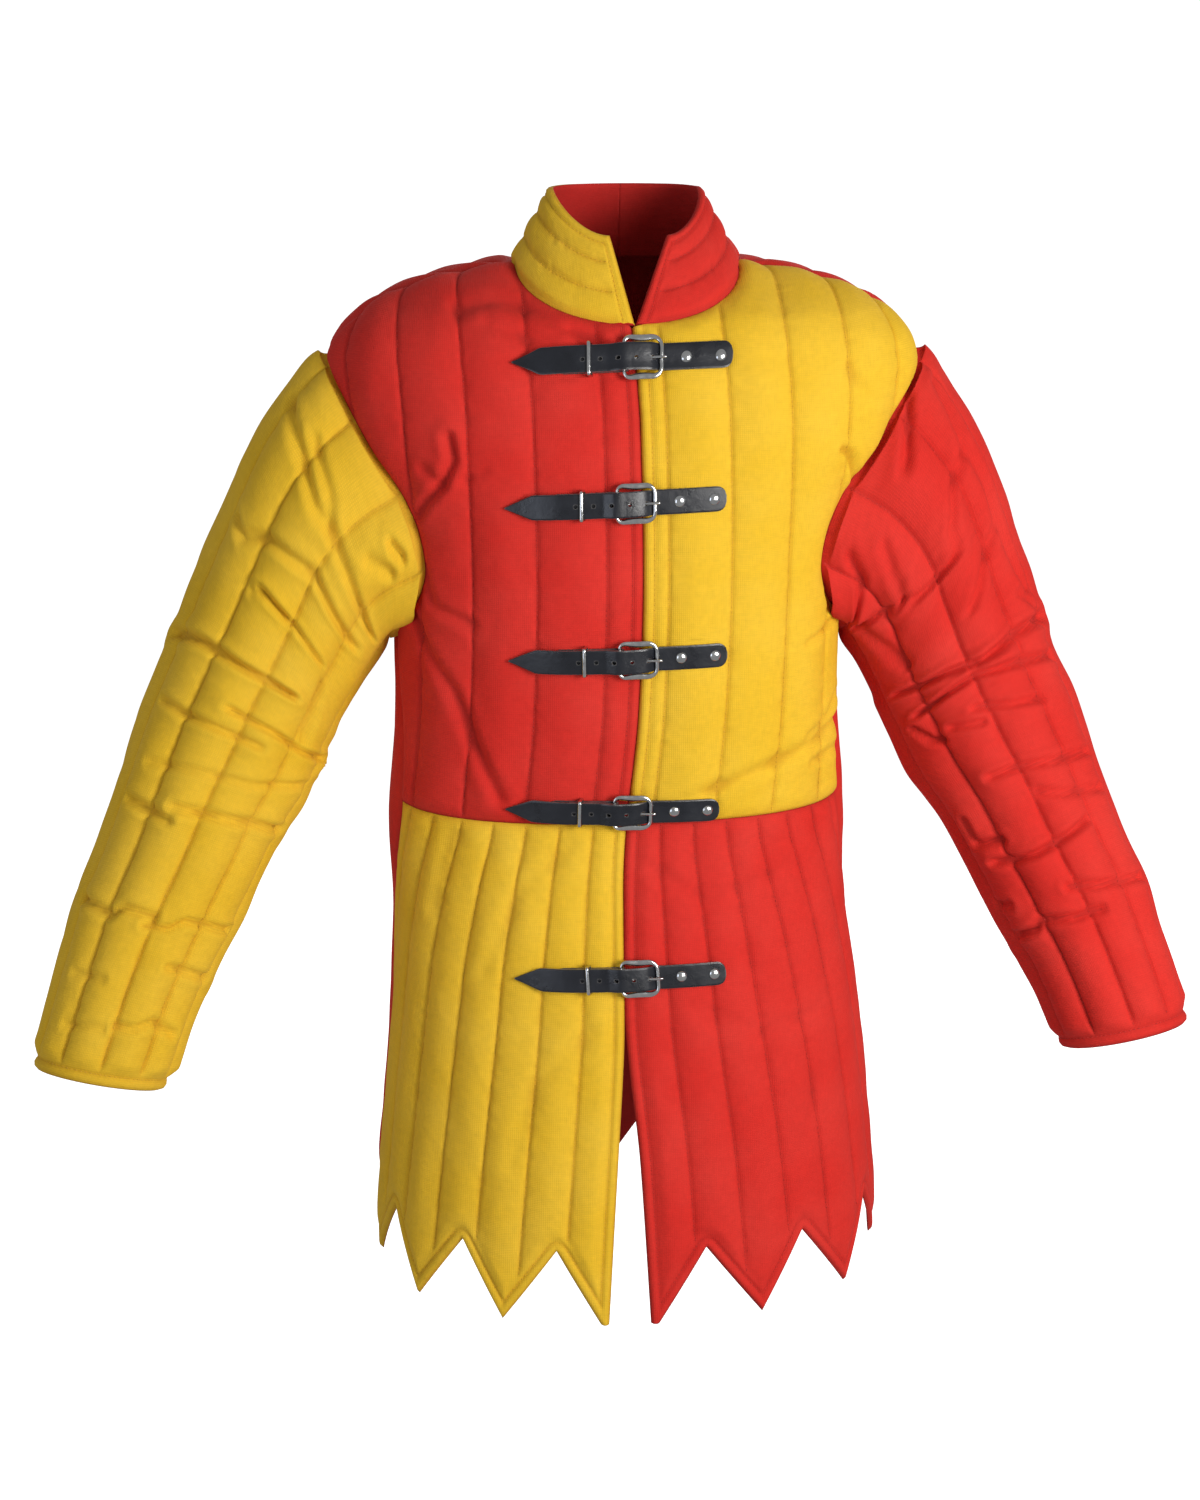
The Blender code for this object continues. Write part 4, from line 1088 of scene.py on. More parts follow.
def woven_cotton(name, dye, deep, worn):
    """Two crossed wave patterns make the weave, noise stretched along the threads makes the slubs, and the
    panel's crest attribute moves the colour from deep, in the quilting grooves and creases, to the dye, on
    top, which is painted shade. Clouds of noise pale it towards worn."""
    material, tree = new_material(name)
    place = add_node(tree, "UVMap", uv_map="cut")
    crest = add_node(tree, "Attribute", output="Fac", attribute_name="crest")
    threads = [
        add_node(tree, "TexWave", {"Vector": place, "Scale": WAVE / 0.0016, "Distortion": 0.6,
                                   "Detail": 1.0, "Detail Scale": 3.0}, "Fac", bands_direction=way)
        for way in "XY"
    ]
    weave = add_node(tree, "Math", {0: threads[0], 1: threads[1]}, operation="MULTIPLY")
    # Slubs 1 mm wide and 12 mm long, both ways.
    slubs = []
    for stretch in ((1000, 80, 1), (80, 1000, 1)):
        along = add_node(tree, "Mapping", {"Vector": place, "Scale": stretch})
        slubs.append(add_node(tree, "TexNoise", {"Vector": along, "Scale": 1.0, "Detail": 2.0}))
    slub = add_node(tree, "Math", {0: slubs[0], 1: slubs[1]}, operation="ADD")
    # Uneven dye, in clouds of about 70 mm, and dust in spots of 6 mm.
    cloud = add_node(tree, "TexNoise", {"Vector": place, "Scale": 14.0, "Detail": 3.0})
    dust = add_node(tree, "TexNoise", {"Vector": place, "Scale": 160.0, "Detail": 4.0})
    # Painted shade: where the crest attribute is low, in the quilting grooves and creases, the colour goes
    # to deep; on the crests it is the dye.
    height = add_node(tree, "MapRange", {"Value": crest, "From Min": -0.25, "From Max": 0.45})
    colour = blend_colours(tree, height, linear(deep), linear(dye))
    fade = add_node(tree, "MapRange", {"Value": cloud, "From Min": 0.35, "From Max": 0.75,
                                       "To Max": 0.5})
    colour = blend_colours(tree, fade, colour, linear(worn))
    grain = add_node(tree, "MapRange", {"Value": slub, "From Min": 0.6, "From Max": 1.4,
                                        "To Min": 0.93, "To Max": 1.05})
    spots = add_node(tree, "MapRange", {"Value": dust, "From Min": 0.3, "From Max": 0.7,
                                        "To Min": 0.96, "To Max": 1.03})
    shade = add_node(tree, "Math", {0: grain, 1: spots}, operation="MULTIPLY")
    thread = add_node(tree, "MapRange", {"Value": weave, "To Min": 0.93, "To Max": 1.06})
    shade = add_node(tree, "Math", {0: shade, 1: thread}, operation="MULTIPLY")
    colour = add_node(tree, "VectorMath", {0: colour, "Scale": shade}, operation="SCALE")
    relief = add_node(tree, "Math", {0: slub, 1: 0.35, 2: weave}, operation="MULTIPLY_ADD")
    bump = add_node(tree, "Bump", {"Height": relief, "Strength": 0.55, "Distance": 0.0004})
    fold = add_node(tree, "TexNoise", {"Vector": place, "Scale": 90.0, "Detail": 3.0})
    bump = add_node(tree, "Bump", {"Height": fold, "Strength": 0.5, "Distance": 0.0012,
                                   "Normal": bump})
    shader = add_node(tree, "BsdfPrincipled", {
        "Base Color": colour, "Roughness": 0.86, "Normal": bump, "IOR": 1.5,
        "Specular IOR Level": 0.28, "Sheen Weight": 0.12, "Sheen Roughness": 0.55,
        "Sheen Tint": linear(worn),
    })
    add_node(tree, "OutputMaterial", {"Surface": shader})
    return material


# The second colour of each cotton is deep, the painted shade in the quilting grooves and creases.
RED_COTTON = woven_cotton("red cotton canvas", "#CD251C", "#A81B14", "#D83B31")
YELLOW_COTTON = woven_cotton("yellow cotton canvas", "#E2B424", "#C48F12", "#EABF3C")
RED_LINING = woven_cotton("red cotton lining", "#B41E19", "#9A1711", "#C22B25")
print("cottons:", [m.name for m in (RED_COTTON, YELLOW_COTTON, RED_LINING)])

# %% [markdown]
# ## Make the panels
#
# Each panel stands for one node of the CAD model, so that node is hidden. The panel rides on the same body,
# with the size of its flat cut measured from the UV map.

PANELS = [
    (chest_front("chest_front_right", -1), "front_right_chest", "red_cloth", RED_COTTON),
    (chest_front("chest_front_left", 1), "front_left_chest", "yellow_cloth", YELLOW_COTTON),
    (skirt_front("skirt_front_right", -1), "skirt_right", "yellow_cloth", YELLOW_COTTON),
    (skirt_front("skirt_front_left", 1), "skirt_left", "red_cloth", RED_COTTON),
    (back_panel("back_panel"), "back", "red_cloth", RED_COTTON),
    (sleeve("sleeve_panel_right", -1), "sleeve_right", "yellow_cloth", YELLOW_COTTON),
    (sleeve("sleeve_panel_left", 1), "sleeve_left", "red_cloth", RED_COTTON),
    (collar("collar_half_right", -1), "collar_right", "yellow_cloth", YELLOW_COTTON),
    (collar("collar_half_left", 1), "collar_left", "red_cloth", RED_COTTON),
]


def flat_cut(obj):
    """Width, length and area of the flat cut in metres: the UV map's extent, and half of the closed
    shell's area, because the shell is two layers of cloth."""
    mesh = obj.data
    uv = np.empty(2 * len(mesh.loops), np.float32)
    mesh.uv_layers["cut"].uv.foreach_get("vector", uv)
    width, length = np.ptp(uv.reshape(-1, 2), axis=0)
    areas = np.empty(len(mesh.polygons), np.float32)
    mesh.polygons.foreach_get("area", areas)
    return float(width), float(length), float(areas.sum() / 2)


for panel, node, slot, cotton in PANELS:
    panel.data.materials.append(cotton)
    panel.data.materials.append(RED_LINING)
    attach(panel, "root")
    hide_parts(node)
    width, length, area = flat_cut(panel)
    print(f"{panel.name}: cut {width:.3f} x {length:.3f} m, {area:.3f} square metres of double cloth")

# %% [markdown]
# ## Leather and nickel
#
# The straps are vegetable-tanned cowhide, dyed black and waxed: nearly smooth, with fine pores, a bluish
# shine on the bends and a paler raw edge where the knife cut through the dye. The buckles, keepers and
# rivets are steel wire and sheet with a polished nickel plate. It mirrors the studio softly, because fine
# handling scratches spread the reflection.

# %% Waxed leather
def waxed_leather():
    """Pores and fine creases as bump, rubbed places shinier, and a paler cut on the edge attribute."""
    material, tree = new_material("black waxed leather")
    place = add_node(tree, "TexCoord", output="Object")
    edge = add_node(tree, "Attribute", output="Fac", attribute_name="edge")
    # Pores about 0.9 mm apart, and creases of the hide about 5 mm apart.
    pores = add_node(tree, "TexVoronoi", {"Vector": place, "Scale": 1100.0})
    hide = add_node(tree, "TexNoise", {"Vector": place, "Scale": 200.0, "Detail": 4.0})
    rubbed = add_node(tree, "TexNoise", {"Vector": place, "Scale": 60.0, "Detail": 3.0})
    colour = blend_colours(tree, rubbed, linear("#090B11"), linear("#151923"))
    raw = add_node(tree, "Math", {0: edge, 1: hide}, operation="MULTIPLY")
    colour = blend_colours(tree, raw, colour, linear("#6E6B69"))
    rough = add_node(tree, "MapRange", {"Value": rubbed, "From Min": 0.3, "From Max": 0.7,
                                        "To Min": 0.24, "To Max": 0.38})
    bump = add_node(tree, "Bump", {"Height": pores, "Strength": 0.25, "Distance": 0.00015})
    bump = add_node(tree, "Bump", {"Height": hide, "Strength": 0.35, "Distance": 0.0006,
                                   "Normal": bump})
    shader = add_node(tree, "BsdfPrincipled", {
        "Base Color": colour, "Roughness": rough, "Normal": bump, "IOR": 1.5,
        "Specular IOR Level": 0.55,
    })
    add_node(tree, "OutputMaterial", {"Surface": shader})
    return material


# %% Nickel plate
def nickel_plate():
    """A metal whose roughness and tint change where it was handled, with scratches along x."""
    material, tree = new_material("polished nickel plate")
    place = add_node(tree, "TexCoord", output="Object")
    handled = add_node(tree, "TexNoise", {"Vector": place, "Scale": 250.0, "Detail": 3.0})
    stretched = add_node(tree, "Mapping", {"Vector": place, "Scale": (400, 2500, 2500)})
    scratches = add_node(tree, "TexNoise", {"Vector": stretched, "Scale": 1.0})
    rough = add_node(tree, "MapRange", {"Value": handled, "From Min": 0.3, "From Max": 0.7,
                                        "To Min": 0.10, "To Max": 0.24})
    bump = add_node(tree, "Bump", {"Height": scratches, "Strength": 0.04, "Distance": 0.0001})
    colour = blend_colours(tree, handled, linear("#B4B7BB"), linear("#D6D6D4"))
    shader = add_node(tree, "BsdfPrincipled", {
        "Base Color": colour, "Metallic": 1.0, "Roughness": rough, "Normal": bump,
    })
    add_node(tree, "OutputMaterial", {"Surface": shader})
    return material


LEATHER, NICKEL = waxed_leather(), nickel_plate()
print("finishes:", LEATHER.name, "and", NICKEL.name)

# %% [markdown]
# ## Straps
#
# A closure's places are given on its strap: s along it, w across it and h out from the padding. One
# function lays them on the front of the coat, so all five closures share their measurements.
#
# A strap is a path of places (s, h) carried across its width. Its holes are punched, so the grid has to
# make true circles: near a hole, square rings of grid lines are drawn in to round ones, and the cells
# inside the innermost ring are left out.

# %% Places on a closure
STRAP_REST, HALF_STRAP = 0.5, 10
BAR_AT, BAR_HEIGHT = -9.0, 4.0


def on_front(closure, s, w, h):
    """q is the shift + s cos(tilt) - w sin(tilt), z is the level + s sin(tilt) + w cos(tilt), and h goes
    out along the form's normal from the padding's crown."""
    level, tilt, shift = closure
    c, t = math.cos(math.radians(tilt)), math.sin(math.radians(tilt))
    s, w, h = np.broadcast_arrays(*(np.asarray(v, float) for v in (s, w, h)))
    q, z = shift + s * c - w * t, level + s * t + w * c
    return raised(q, z, PADDED + STRAP_REST + h)


print("the top strap's middle in mm:", on_front(CLOSURES[0], 0, 0, 0).round(1).tolist())

# %% Plates
def plate(name, skins, keep, edge):
    """One closed body between two grids of the same size, with a wall round every open edge, holes
    included: an edge of a kept cell is open if no other kept cell runs it the other way."""
    rows, columns = skins[0].shape[:2]
    at = np.arange(rows * columns).reshape(rows, columns)
    cells = quads(at)[keep]
    edges = np.stack([cells, np.roll(cells, -1, axis=1)], -1).reshape(-1, 2)
    size = rows * columns
    alone = edges[~np.isin(edges[:, 0] * size + edges[:, 1], edges[:, 1] * size + edges[:, 0])]
    walls = np.stack([alone[:, 1], alone[:, 0], alone[:, 0] + size, alone[:, 1] + size], -1)
    faces = np.concatenate([cells, cells[:, ::-1] + size, walls])
    mesh = new_mesh(name, np.concatenate([s.reshape(-1, 3) for s in skins]), faces.tolist())
    cut = mesh.attributes.new("edge", "FLOAT", "POINT")
    cut.data.foreach_set("value", np.tile(edge.ravel(), 2).astype(np.float32))
    obj = tidy_mesh(name, mesh)
    obj.data.set_sharp_from_angle(angle=math.radians(50))
    return obj


# %% Strap with punched holes
HOLE, RING = 0.17, 0.27  # a hole's radius and the outermost ring's, as shares of HALF_STRAP


def punched(s, share, holes):
    """Moves grid places near a hole: a place on a square ring goes to the circle that fits in it, less and
    less towards the outermost ring."""
    w = share * HALF_STRAP
    inside = np.zeros(s.shape, bool)
    for hole in holes:
        a, b = s - hole, w
        square = np.maximum(np.abs(a), np.abs(b))
        round_ = np.maximum(np.hypot(a, b), 1e-6)
        outwards = (square / HALF_STRAP - HOLE) / (RING - HOLE)
        pull = np.where(square < HALF_STRAP * RING - 1e-6, 1 - smooth(outwards), 0)
        scale = 1 + pull * (square / round_ - 1)
        s, w = np.where(pull > 0, hole + a * scale, s), np.where(pull > 0, b * scale, w)
        middle = np.maximum(np.abs(a[:-1, :-1] + a[1:, 1:]), np.abs(b[:-1, :-1] + b[1:, 1:])) / 2
        inside[:-1, :-1] |= middle < HALF_STRAP * HOLE
    return s, w, ~inside[:-1, :-1]


def strap(name, closure, s, h, half_width, holes, thick, slot=None):
    """Carries a path of middle places (s, h) across the strap, and half the thickness to both sides of it,
    square to the path. The upper corners are rounded down by a sixth, slot marks the rows whose middle is
    cut out, and the edge attribute is 1 where the knife or the punch went through."""
    share = fill((-1, -0.94, -RING, -HOLE, HOLE, RING, 0.94, 1), 0.06)[None]
    run = unit(np.column_stack([np.gradient(s), np.gradient(h)]))
    rows, share = np.broadcast_arrays(np.arange(len(s))[:, None], share)
    along, across, keep = punched(s[rows], share, holes)
    w = across / HALF_STRAP * half_width[rows]
    skins = []
    for way in (-0.5, 0.5):
        worn = 1 - 0.33 * smooth((np.abs(share) - 0.9) / 0.1) * (way > 0)
        off = way * thick * worn
        skins.append(on_front(closure, along - run[rows, 1] * off, w, h[rows] + run[rows, 0] * off))
    if slot is not None:
        keep = keep & ~(slot[rows[:-1, :-1]] & (np.abs(share[:-1, :-1] + share[1:, 1:]) / 2 < HOLE))
    at_end = np.minimum(np.arange(len(s)), np.arange(len(s))[::-1])[rows] == 0
    rim = HALF_STRAP * HOLE
    at_hole = [np.abs(np.hypot(along - hole, across) - rim) < 0.15 for hole in holes]
    raw = np.any([np.abs(share) > 0.97, at_end, *at_hole], axis=0)
    return plate(name, skins, keep, raw.astype(float))


BILLET = np.array([
    # s, underside's h
    (-98, 0), (-87, 0.2), (-76, 1.2), (-68, 2.4), (-61, 3.4), (-55, 4.1), (-49, 4.4), (-35, 4.6),
    (-21, 4.9), (-16, 6.6), (-11, 8.4), (-7, 8.4), (-4, 7.9), (2, 7.3), (8, 6.4), (13, 4.9),
    (16, 3.2), (18.5, 1.3), (21, 0.2), (24, 0), (80, 0),
], float)
BILLET_HOLES = (14.5, 1.0, -13.4, -27.8, -41.9)
BILLET_THICK, CHAPE_THICK = 2.2, 2.0


def billet(name, closure):
    """The long strap: riveted down on the wearer's left, under the buckle's end, over its bar, through
    the keeper and out to a point. Its outline is straight to the point and rounded at the rivets. Its
    height is the mean of three places 1.5 mm apart, so that no bend is sharp."""
    reach = [way * HALF_STRAP * r for r in (HOLE, RING) for way in (-1, 1)]
    marks = sorted({-98, -76, 70, 80, *[hole + step for hole in BILLET_HOLES for step in reach]})
    s = fill(marks, 1.5)
    h = np.mean([eased(BILLET, 1, s + step) for step in (-1.5, 0, 1.5)], axis=0) + 1.2
    point = np.interp(s, (-98, -77, -74), (0.5, 9.6, 10))
    end = 2.5 + 7.5 * np.sqrt(np.clip(1 - (np.clip(s - 72.5, 0, 7.5) / 7.5) ** 2, 0, 1))
    return strap(name, closure, s, h, np.minimum(point, end), BILLET_HOLES, BILLET_THICK)


def chape(name, closure):
    """The short strap, folded round the buckle's bar with a slot for the prong."""
    turn = np.radians([-90, -45, 0, 45, 90])
    rows = [(-64, 1.0), (-57, 1.0), (-43, 1.0), (-29, 1.0), (-15, 1.0)]
    rows += [(BAR_AT + 3 * c, BAR_HEIGHT + 3 * t) for c, t in zip(np.cos(turn), np.sin(turn))]
    rows += [(-15, 4.9), (-21, 3.35), (-33, 3.35), (-46, 3.35)]
    rows = np.array(rows)
    length = length_along(rows)
    table = np.column_stack([length, rows])
    at = fill((0, length[5], length[9], length[-1]), 1.4)
    s, h = eased(table, 1, at), eased(table, 2, at)
    end = 10 * np.sqrt(np.clip(1 - (np.clip(8 - at, 0, 8) / 8.6) ** 2, 0, 1))
    slot = (at[:-1] > length[5] - 3) & (at[:-1] < length[9] + 3)
    return strap(name, closure, s, h, end, (), CHAPE_THICK, np.append(slot, False))


print("the billet's holes are", np.abs(np.diff(BILLET_HOLES)).round(1).tolist(), "mm apart")



# %% [markdown]
# ## Buckle wire and rivets
#
# The frame, the prong and the keeper are bent wire: a circle carried along a path. The circle needs a
# second direction that never lies along the path, and each path is flat, so its plane's normal serves.
# A rivet's head is a turned shape, a profile carried round an axis.

# %% Rods
ROUND = 12  # points round a wire


def rod(name, path, plane, radius, closed, flat=1.0, broad=1.0):
    """Points at path + radius (flat cos(turn) plane + broad sin(turn) side), where side is square to the
    path and to the plane's normal. An open end is rounded: the radius falls off like a quarter circle."""
    if closed:
        run = unit(np.roll(path, -1, axis=0) - np.roll(path, 1, axis=0))
        size = np.full(len(path), radius)
    else:
        run = unit(np.gradient(path, axis=0))
        length = length_along(path)
        to_end = np.clip(np.minimum(length, length[-1] - length) / radius, 0, 1)
        size = radius * np.sqrt(1 - (1 - to_end) ** 2)
    side = unit(np.cross(run, plane))
    turn = np.linspace(0, 2 * math.pi, ROUND, endpoint=False)[None, :, None]
    plane, side = plane[:, None], side[:, None]
    side = side * np.broadcast_to(broad, len(path))[:, None, None]
    points = path[:, None] + size[:, None, None] * (flat * np.cos(turn) * plane + np.sin(turn) * side)
    at = closed_round(np.arange(len(path) * ROUND).reshape(len(path), ROUND))
    if closed:
        at = np.append(at, at[:1], axis=0)
    return tidy_mesh(name, new_mesh(name, points, quads(at).reshape(-1, 4).tolist()))


# %% Buckle, prong, keeper and rivet
def buckle_frame(name, closure):
    """A rounded rectangle, 2.8 mm thick and 2.8 mm broad at the bar, and up to 5.2 mm broad along its two
    long sides, where it grows inwards."""
    left, right, rise = BAR_AT, 22.2, 15.0
    s, w = [], []
    for turn_from, corner_s, corner_w, radius in (
        (0, right - 8, rise - 8, 8), (90, left + 5, rise - 5, 5),
        (180, left + 5, 5 - rise, 5), (270, right - 8, 8 - rise, 8),
    ):
        turn = np.radians(np.linspace(turn_from, turn_from + 90, 9))
        s.append(corner_s + radius * np.cos(turn))
        w.append(corner_w + radius * np.sin(turn))
    s, w = np.append(np.concatenate(s), s[0][0]), np.append(np.concatenate(w), w[0][0])
    length = length_along(np.column_stack([s, w]))
    at = np.linspace(0, length[-1], 84, endpoint=False)
    s, w = np.interp(at, length, s), np.interp(at, length, w)
    along = (s - left) / (right - left)
    broad = 1 + 1.05 * np.sin(math.pi * np.clip(along, 0, 1)) ** 0.8 * smooth((np.abs(w) - 5) / 8)
    broad = np.maximum(broad, 1.25 * smooth((along - 0.8) / 0.2))
    inward = 1.4 * (broad - 1)
    away = np.maximum(np.hypot(s - (left + right) / 2, w), 1)
    s, w = s - inward * (s - (left + right) / 2) / away, w - inward * w / away
    path = on_front(closure, s, w, BAR_HEIGHT)
    facing = unit(on_front(closure, s, w, BAR_HEIGHT + 1) - path)
    return rod(name, path, facing, 1.4, True, broad=broad)


def prong(name, closure):
    """An eye round the bar, a run under the strap, out through its hole and over the frame."""
    turn = np.radians(np.linspace(-40, -262, 16))
    rows = np.column_stack([BAR_AT + 2.95 * np.cos(turn), BAR_HEIGHT + 2.95 * np.sin(turn)])
    rows = np.append(rows, [(-4, 6.3), (2, 5.6), (8, 4.9), (14, 5.8), (19, 6.9), (23, 7.1), (26, 6.8)], 0)
    length = length_along(rows)
    at = np.concatenate([[0, 0.1, 0.35, 0.7], np.linspace(1.1, length[-1] - 1.1, 50),
                         length[-1] - np.array([0.7, 0.35, 0.1, 0])])
    table = np.column_stack([length, rows])
    s, h = eased(table, 1, at), eased(table, 2, at)
    path = on_front(closure, s, 0, h)
    across = unit(on_front(closure, s, 0.5, h) - on_front(closure, s, -0.5, h))
    return rod(name, path, across, 1.1, False)


def keeper(name, closure):
    """A loop of 2.2 mm wire, slightly flattened, round both straps; its hidden side is pressed into the
    padding and leans 2 mm towards the buckle."""
    corners = []
    for turn_from, w, h in ((0, 9.8, 6.5), (90, -9.8, 6.5), (180, -9.8, 0.6), (270, 9.8, 0.6)):
        turn = np.radians(np.linspace(turn_from, turn_from + 90, 7))
        corners.append(np.column_stack([w + 1.9 * np.cos(turn), h + 1.9 * np.sin(turn)]))
    w, h = np.concatenate(corners).T
    s = -37.4 + 2.0 * smooth((6 - h) / 6)
    path = on_front(closure, s, w, h)
    along = unit(on_front(closure, s + 0.5, w, h) - on_front(closure, s - 0.5, w, h))
    return rod(name, path, along, 1.1, True, flat=1.45)


def rivet(name, closure, place, strap_top):
    """A domed head, 9.2 mm across and 2 mm high: height is 2 times (1 - radius share squared) to the
    power 0.6, over a flat underside."""
    share = np.concatenate([[0, 0.999], np.sin(np.linspace(1, 0, 12) * math.pi / 2)])[:, None]
    turn = np.linspace(0, 2 * math.pi, 28, endpoint=False)[None]
    rise = 2.0 * np.clip(1 - share**2, 0, 1) ** 0.6
    rise[:2] = 0
    rise[2:] += 0.15
    s = place + 4.6 * share * np.cos(turn)
    w = 4.6 * share * np.sin(turn)
    points = on_front(closure, s, w, strap_top + 0.1 + rise + 0 * turn)
    at = closed_round(np.arange(points[..., 0].size).reshape(points.shape[:2]))
    return tidy_mesh(name, new_mesh(name, points, quads(at).reshape(-1, 4).tolist()))


# %% Make the five closures
LEATHER_SLOT, NICKEL_SLOT = ("black_leather", LEATHER), ("nickel_plate", NICKEL)
CLOSURE_PIECES = (
    # piece's name, node's name, what makes it, its own values, slot and finish
    ("billet_{}", "billet", billet, (), LEATHER_SLOT),
    ("chape_{}", "chape", chape, (), LEATHER_SLOT),
    ("buckle_{}", "frame", buckle_frame, (), NICKEL_SLOT),
    ("prong_{}", "prong", prong, (), NICKEL_SLOT),
    ("keeper_{}", "keeper", keeper, (), NICKEL_SLOT),
    ("rivet_{}_a", "rivet_a", rivet, (42, BILLET_THICK), NICKEL_SLOT),
    ("rivet_{}_b", "rivet_b", rivet, (70, BILLET_THICK), NICKEL_SLOT),
    ("rivet_{}_c", "rivet_c", rivet, (-56, CHAPE_THICK), NICKEL_SLOT),
)
for number, closure in enumerate(CLOSURES, 1):
    for title, node, make, values, (slot, finish) in CLOSURE_PIECES:
        part = make(title.format(number), closure, *values)
        part.data.materials.append(finish)
        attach(part, "root")
        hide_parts(f"closure_{number}_{node}")

# %% [markdown]
# ## Stitches
#
# Every line of quilting and every turned edge is sewn with a lockstitch in thread of the cloth's own
# colour. A stitch could be a bump in the material, but real thread casts a tiny shadow and breaks up the
# groove, so each one is a spindle of eight faces: two ends that dip into the cloth and a square belt
# between them. Real thread is 0.5 mm thick; it is drawn at 0.8 mm so that it shows.

# %% Sewing
STITCH, GAP_SHARE = 4.2, 0.26


def part_way(where, length, values):
    """Values of a path at some lengths along it, a blend of the two nearest."""
    return np.stack([np.interp(where, length, values[:, k]) for k in range(3)], -1)


def sew(name, seams, thread):
    """Each seam is dense points and normals. Places are set every STITCH millimetres along it, and a
    stitch spans from one place to the next, less the gap."""
    starts, ends, normals = [], [], []
    for points, normal in seams:
        length = length_along(points)
        begin = np.arange(int(length[-1] / STITCH)) * STITCH
        starts.append(part_way(begin, length, points))
        ends.append(part_way(begin + (1 - GAP_SHARE) * STITCH, length, points))
        normals.append(unit(part_way(begin, length, normal)))
    start, end, normal = (np.concatenate(v) for v in (starts, ends, normals))
    middle = (start + end) / 2 + normal * 0.3
    side = unit(np.cross(end - start, normal)) * 0.4
    corners = np.stack([start, middle + side, middle + normal * 0.4, middle - side,
                        middle - normal * 0.4, end], 1)
    belt = [(1, 2), (2, 3), (3, 4), (4, 1)]
    faces = np.array([(0, b, a) for a, b in belt] + [(5, a, b) for a, b in belt])
    faces = (faces[None] + 6 * np.arange(len(start))[:, None, None]).reshape(-1, 3)
    mesh = new_mesh(name, corners, faces.tolist())
    mesh.shade_smooth()
    mesh.materials.append(thread)
    obj = place_in_scene(name, mesh)
    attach(obj, "root")
    print(f"{name}: {len(start)} stitches, {len(faces)} triangles")


def runs(keep):
    """Start and end of every run of True."""
    edge = np.flatnonzero(np.diff(np.concatenate([[0], keep.astype(int), [0]])))
    return [slice(a, b) for a, b in zip(edge[::2], edge[1::2]) if b - a > 3]


def seams_on(points, normals, keep):
    return [(points[run], normals[run]) for run in runs(keep)]


print("stitches to 100 mm of seam:", round(100 / STITCH))


# %% Thread
def sewing_thread(name, colour, shine):
    """Spun polyester: smoother than the cloth, with a twist every 0.9 mm."""
    material, tree = new_material(name)
    place = add_node(tree, "TexCoord", output="Object")
    twist = add_node(tree, "TexWave", {"Vector": place, "Scale": WAVE / 0.0009}, "Fac",
                     bands_direction="DIAGONAL")
    bump = add_node(tree, "Bump", {"Height": twist, "Strength": 0.3, "Distance": 0.0001})
    shader = add_node(tree, "BsdfPrincipled", {
        "Base Color": blend_colours(tree, twist, linear(colour), linear(shine)),
        "Roughness": 0.55, "Normal": bump, "Specular IOR Level": 0.4,
    })
    add_node(tree, "OutputMaterial", {"Surface": shader})
    return material


RED_THREAD = sewing_thread("red polyester thread", "#A91C15", "#C3312A")
YELLOW_THREAD = sewing_thread("yellow polyester thread", "#C4920F", "#DDAF33")
THREADS = {"red_cloth": RED_THREAD, "yellow_cloth": YELLOW_THREAD}
print("threads:", [thread.name for thread in THREADS.values()])


# %% Sew the chest and the skirts
def zigzag_inside(corners_a, corners_z, inside):
    """Places at a distance inside a zigzag: each straight stretch moved square to itself."""
    places = []
    for a0, z0, a1, z1 in zip(corners_a[:-1], corners_z[:-1], corners_a[1:], corners_z[1:]):
        t = np.linspace(0, 1, 60)
        long = math.hypot(a1 - a0, z1 - z0)
        places.append(np.column_stack([
            a0 + (a1 - a0) * t - (z1 - z0) / long * inside, z0 + (z1 - z0) * t + (a1 - a0) / long * inside,
        ]))
    a, z = np.concatenate(places).T
    return a, z, to_zigzag(a, z, corners_a, corners_z) > inside - 0.2


def chest_seams(sign):
    seams = []
    for line in CHEST_LINES[sign][:-1]:
        z = np.arange(WAIST + 3, NECK_POINT - 1, 1.5)
        q = closing_edge(sign, z) + line
        keep = (q < front_end(z) - 4) & (q > front_start(sign, z) + 3)
        points = raised(sign * q, z, chest_relief(sign, q, z))
        seams += seams_on(points, outward(sign * q, z), keep)
    return seams


def skirt_points(sign, share, down):
    q, z, _ = skirt_place(sign, share, down)
    relief, _ = skirt_relief(sign, share, down)
    return raised(sign * q, z, relief), outward(sign * q, z)


def skirt_seams(sign):
    seams = []
    down = np.linspace(0.005, 1, 300)
    for line in SKIRT_LINES[1:-1]:
        share = np.full_like(down, line)
        _, to_edge = skirt_relief(sign, share, down)
        seams += seams_on(*skirt_points(sign, share, down), to_edge > TOPSTITCH + 2)
    z = np.linspace(WAIST - 3, HEM_TIP, 300)
    hem = skirt_teeth(sign)
    inside_a, inside_z, keep = zigzag_inside(*hem, TOPSTITCH)
    for a, level, keep in (
        (np.full_like(z, TOPSTITCH), z, to_zigzag(TOPSTITCH, z, *hem) > TOPSTITCH),
        (inside_a, inside_z, keep & (inside_a > TOPSTITCH)),
    ):
        share = a / (front_end(level) - SEAM_GAP / 2 - closing_edge(sign, level))
        waist = WAIST - SEAM_GAP / 2
        fall = (level - waist) / (hem_height(share, FRONT_TIPS, FRONT_VALLEYS) - waist)
        seams += seams_on(*skirt_points(sign, share, np.clip(fall, 0, 1)), keep & (share < 0.985))
    return seams


# %% Sew the back, the sleeves and the collar
def back_points(s, z):
    width = back_end(np.minimum(z, WAIST))
    relief, _ = back_relief(s / width, s, z, width)
    q = back_q(s, z)
    return raised(q, z, relief), outward(q, z)


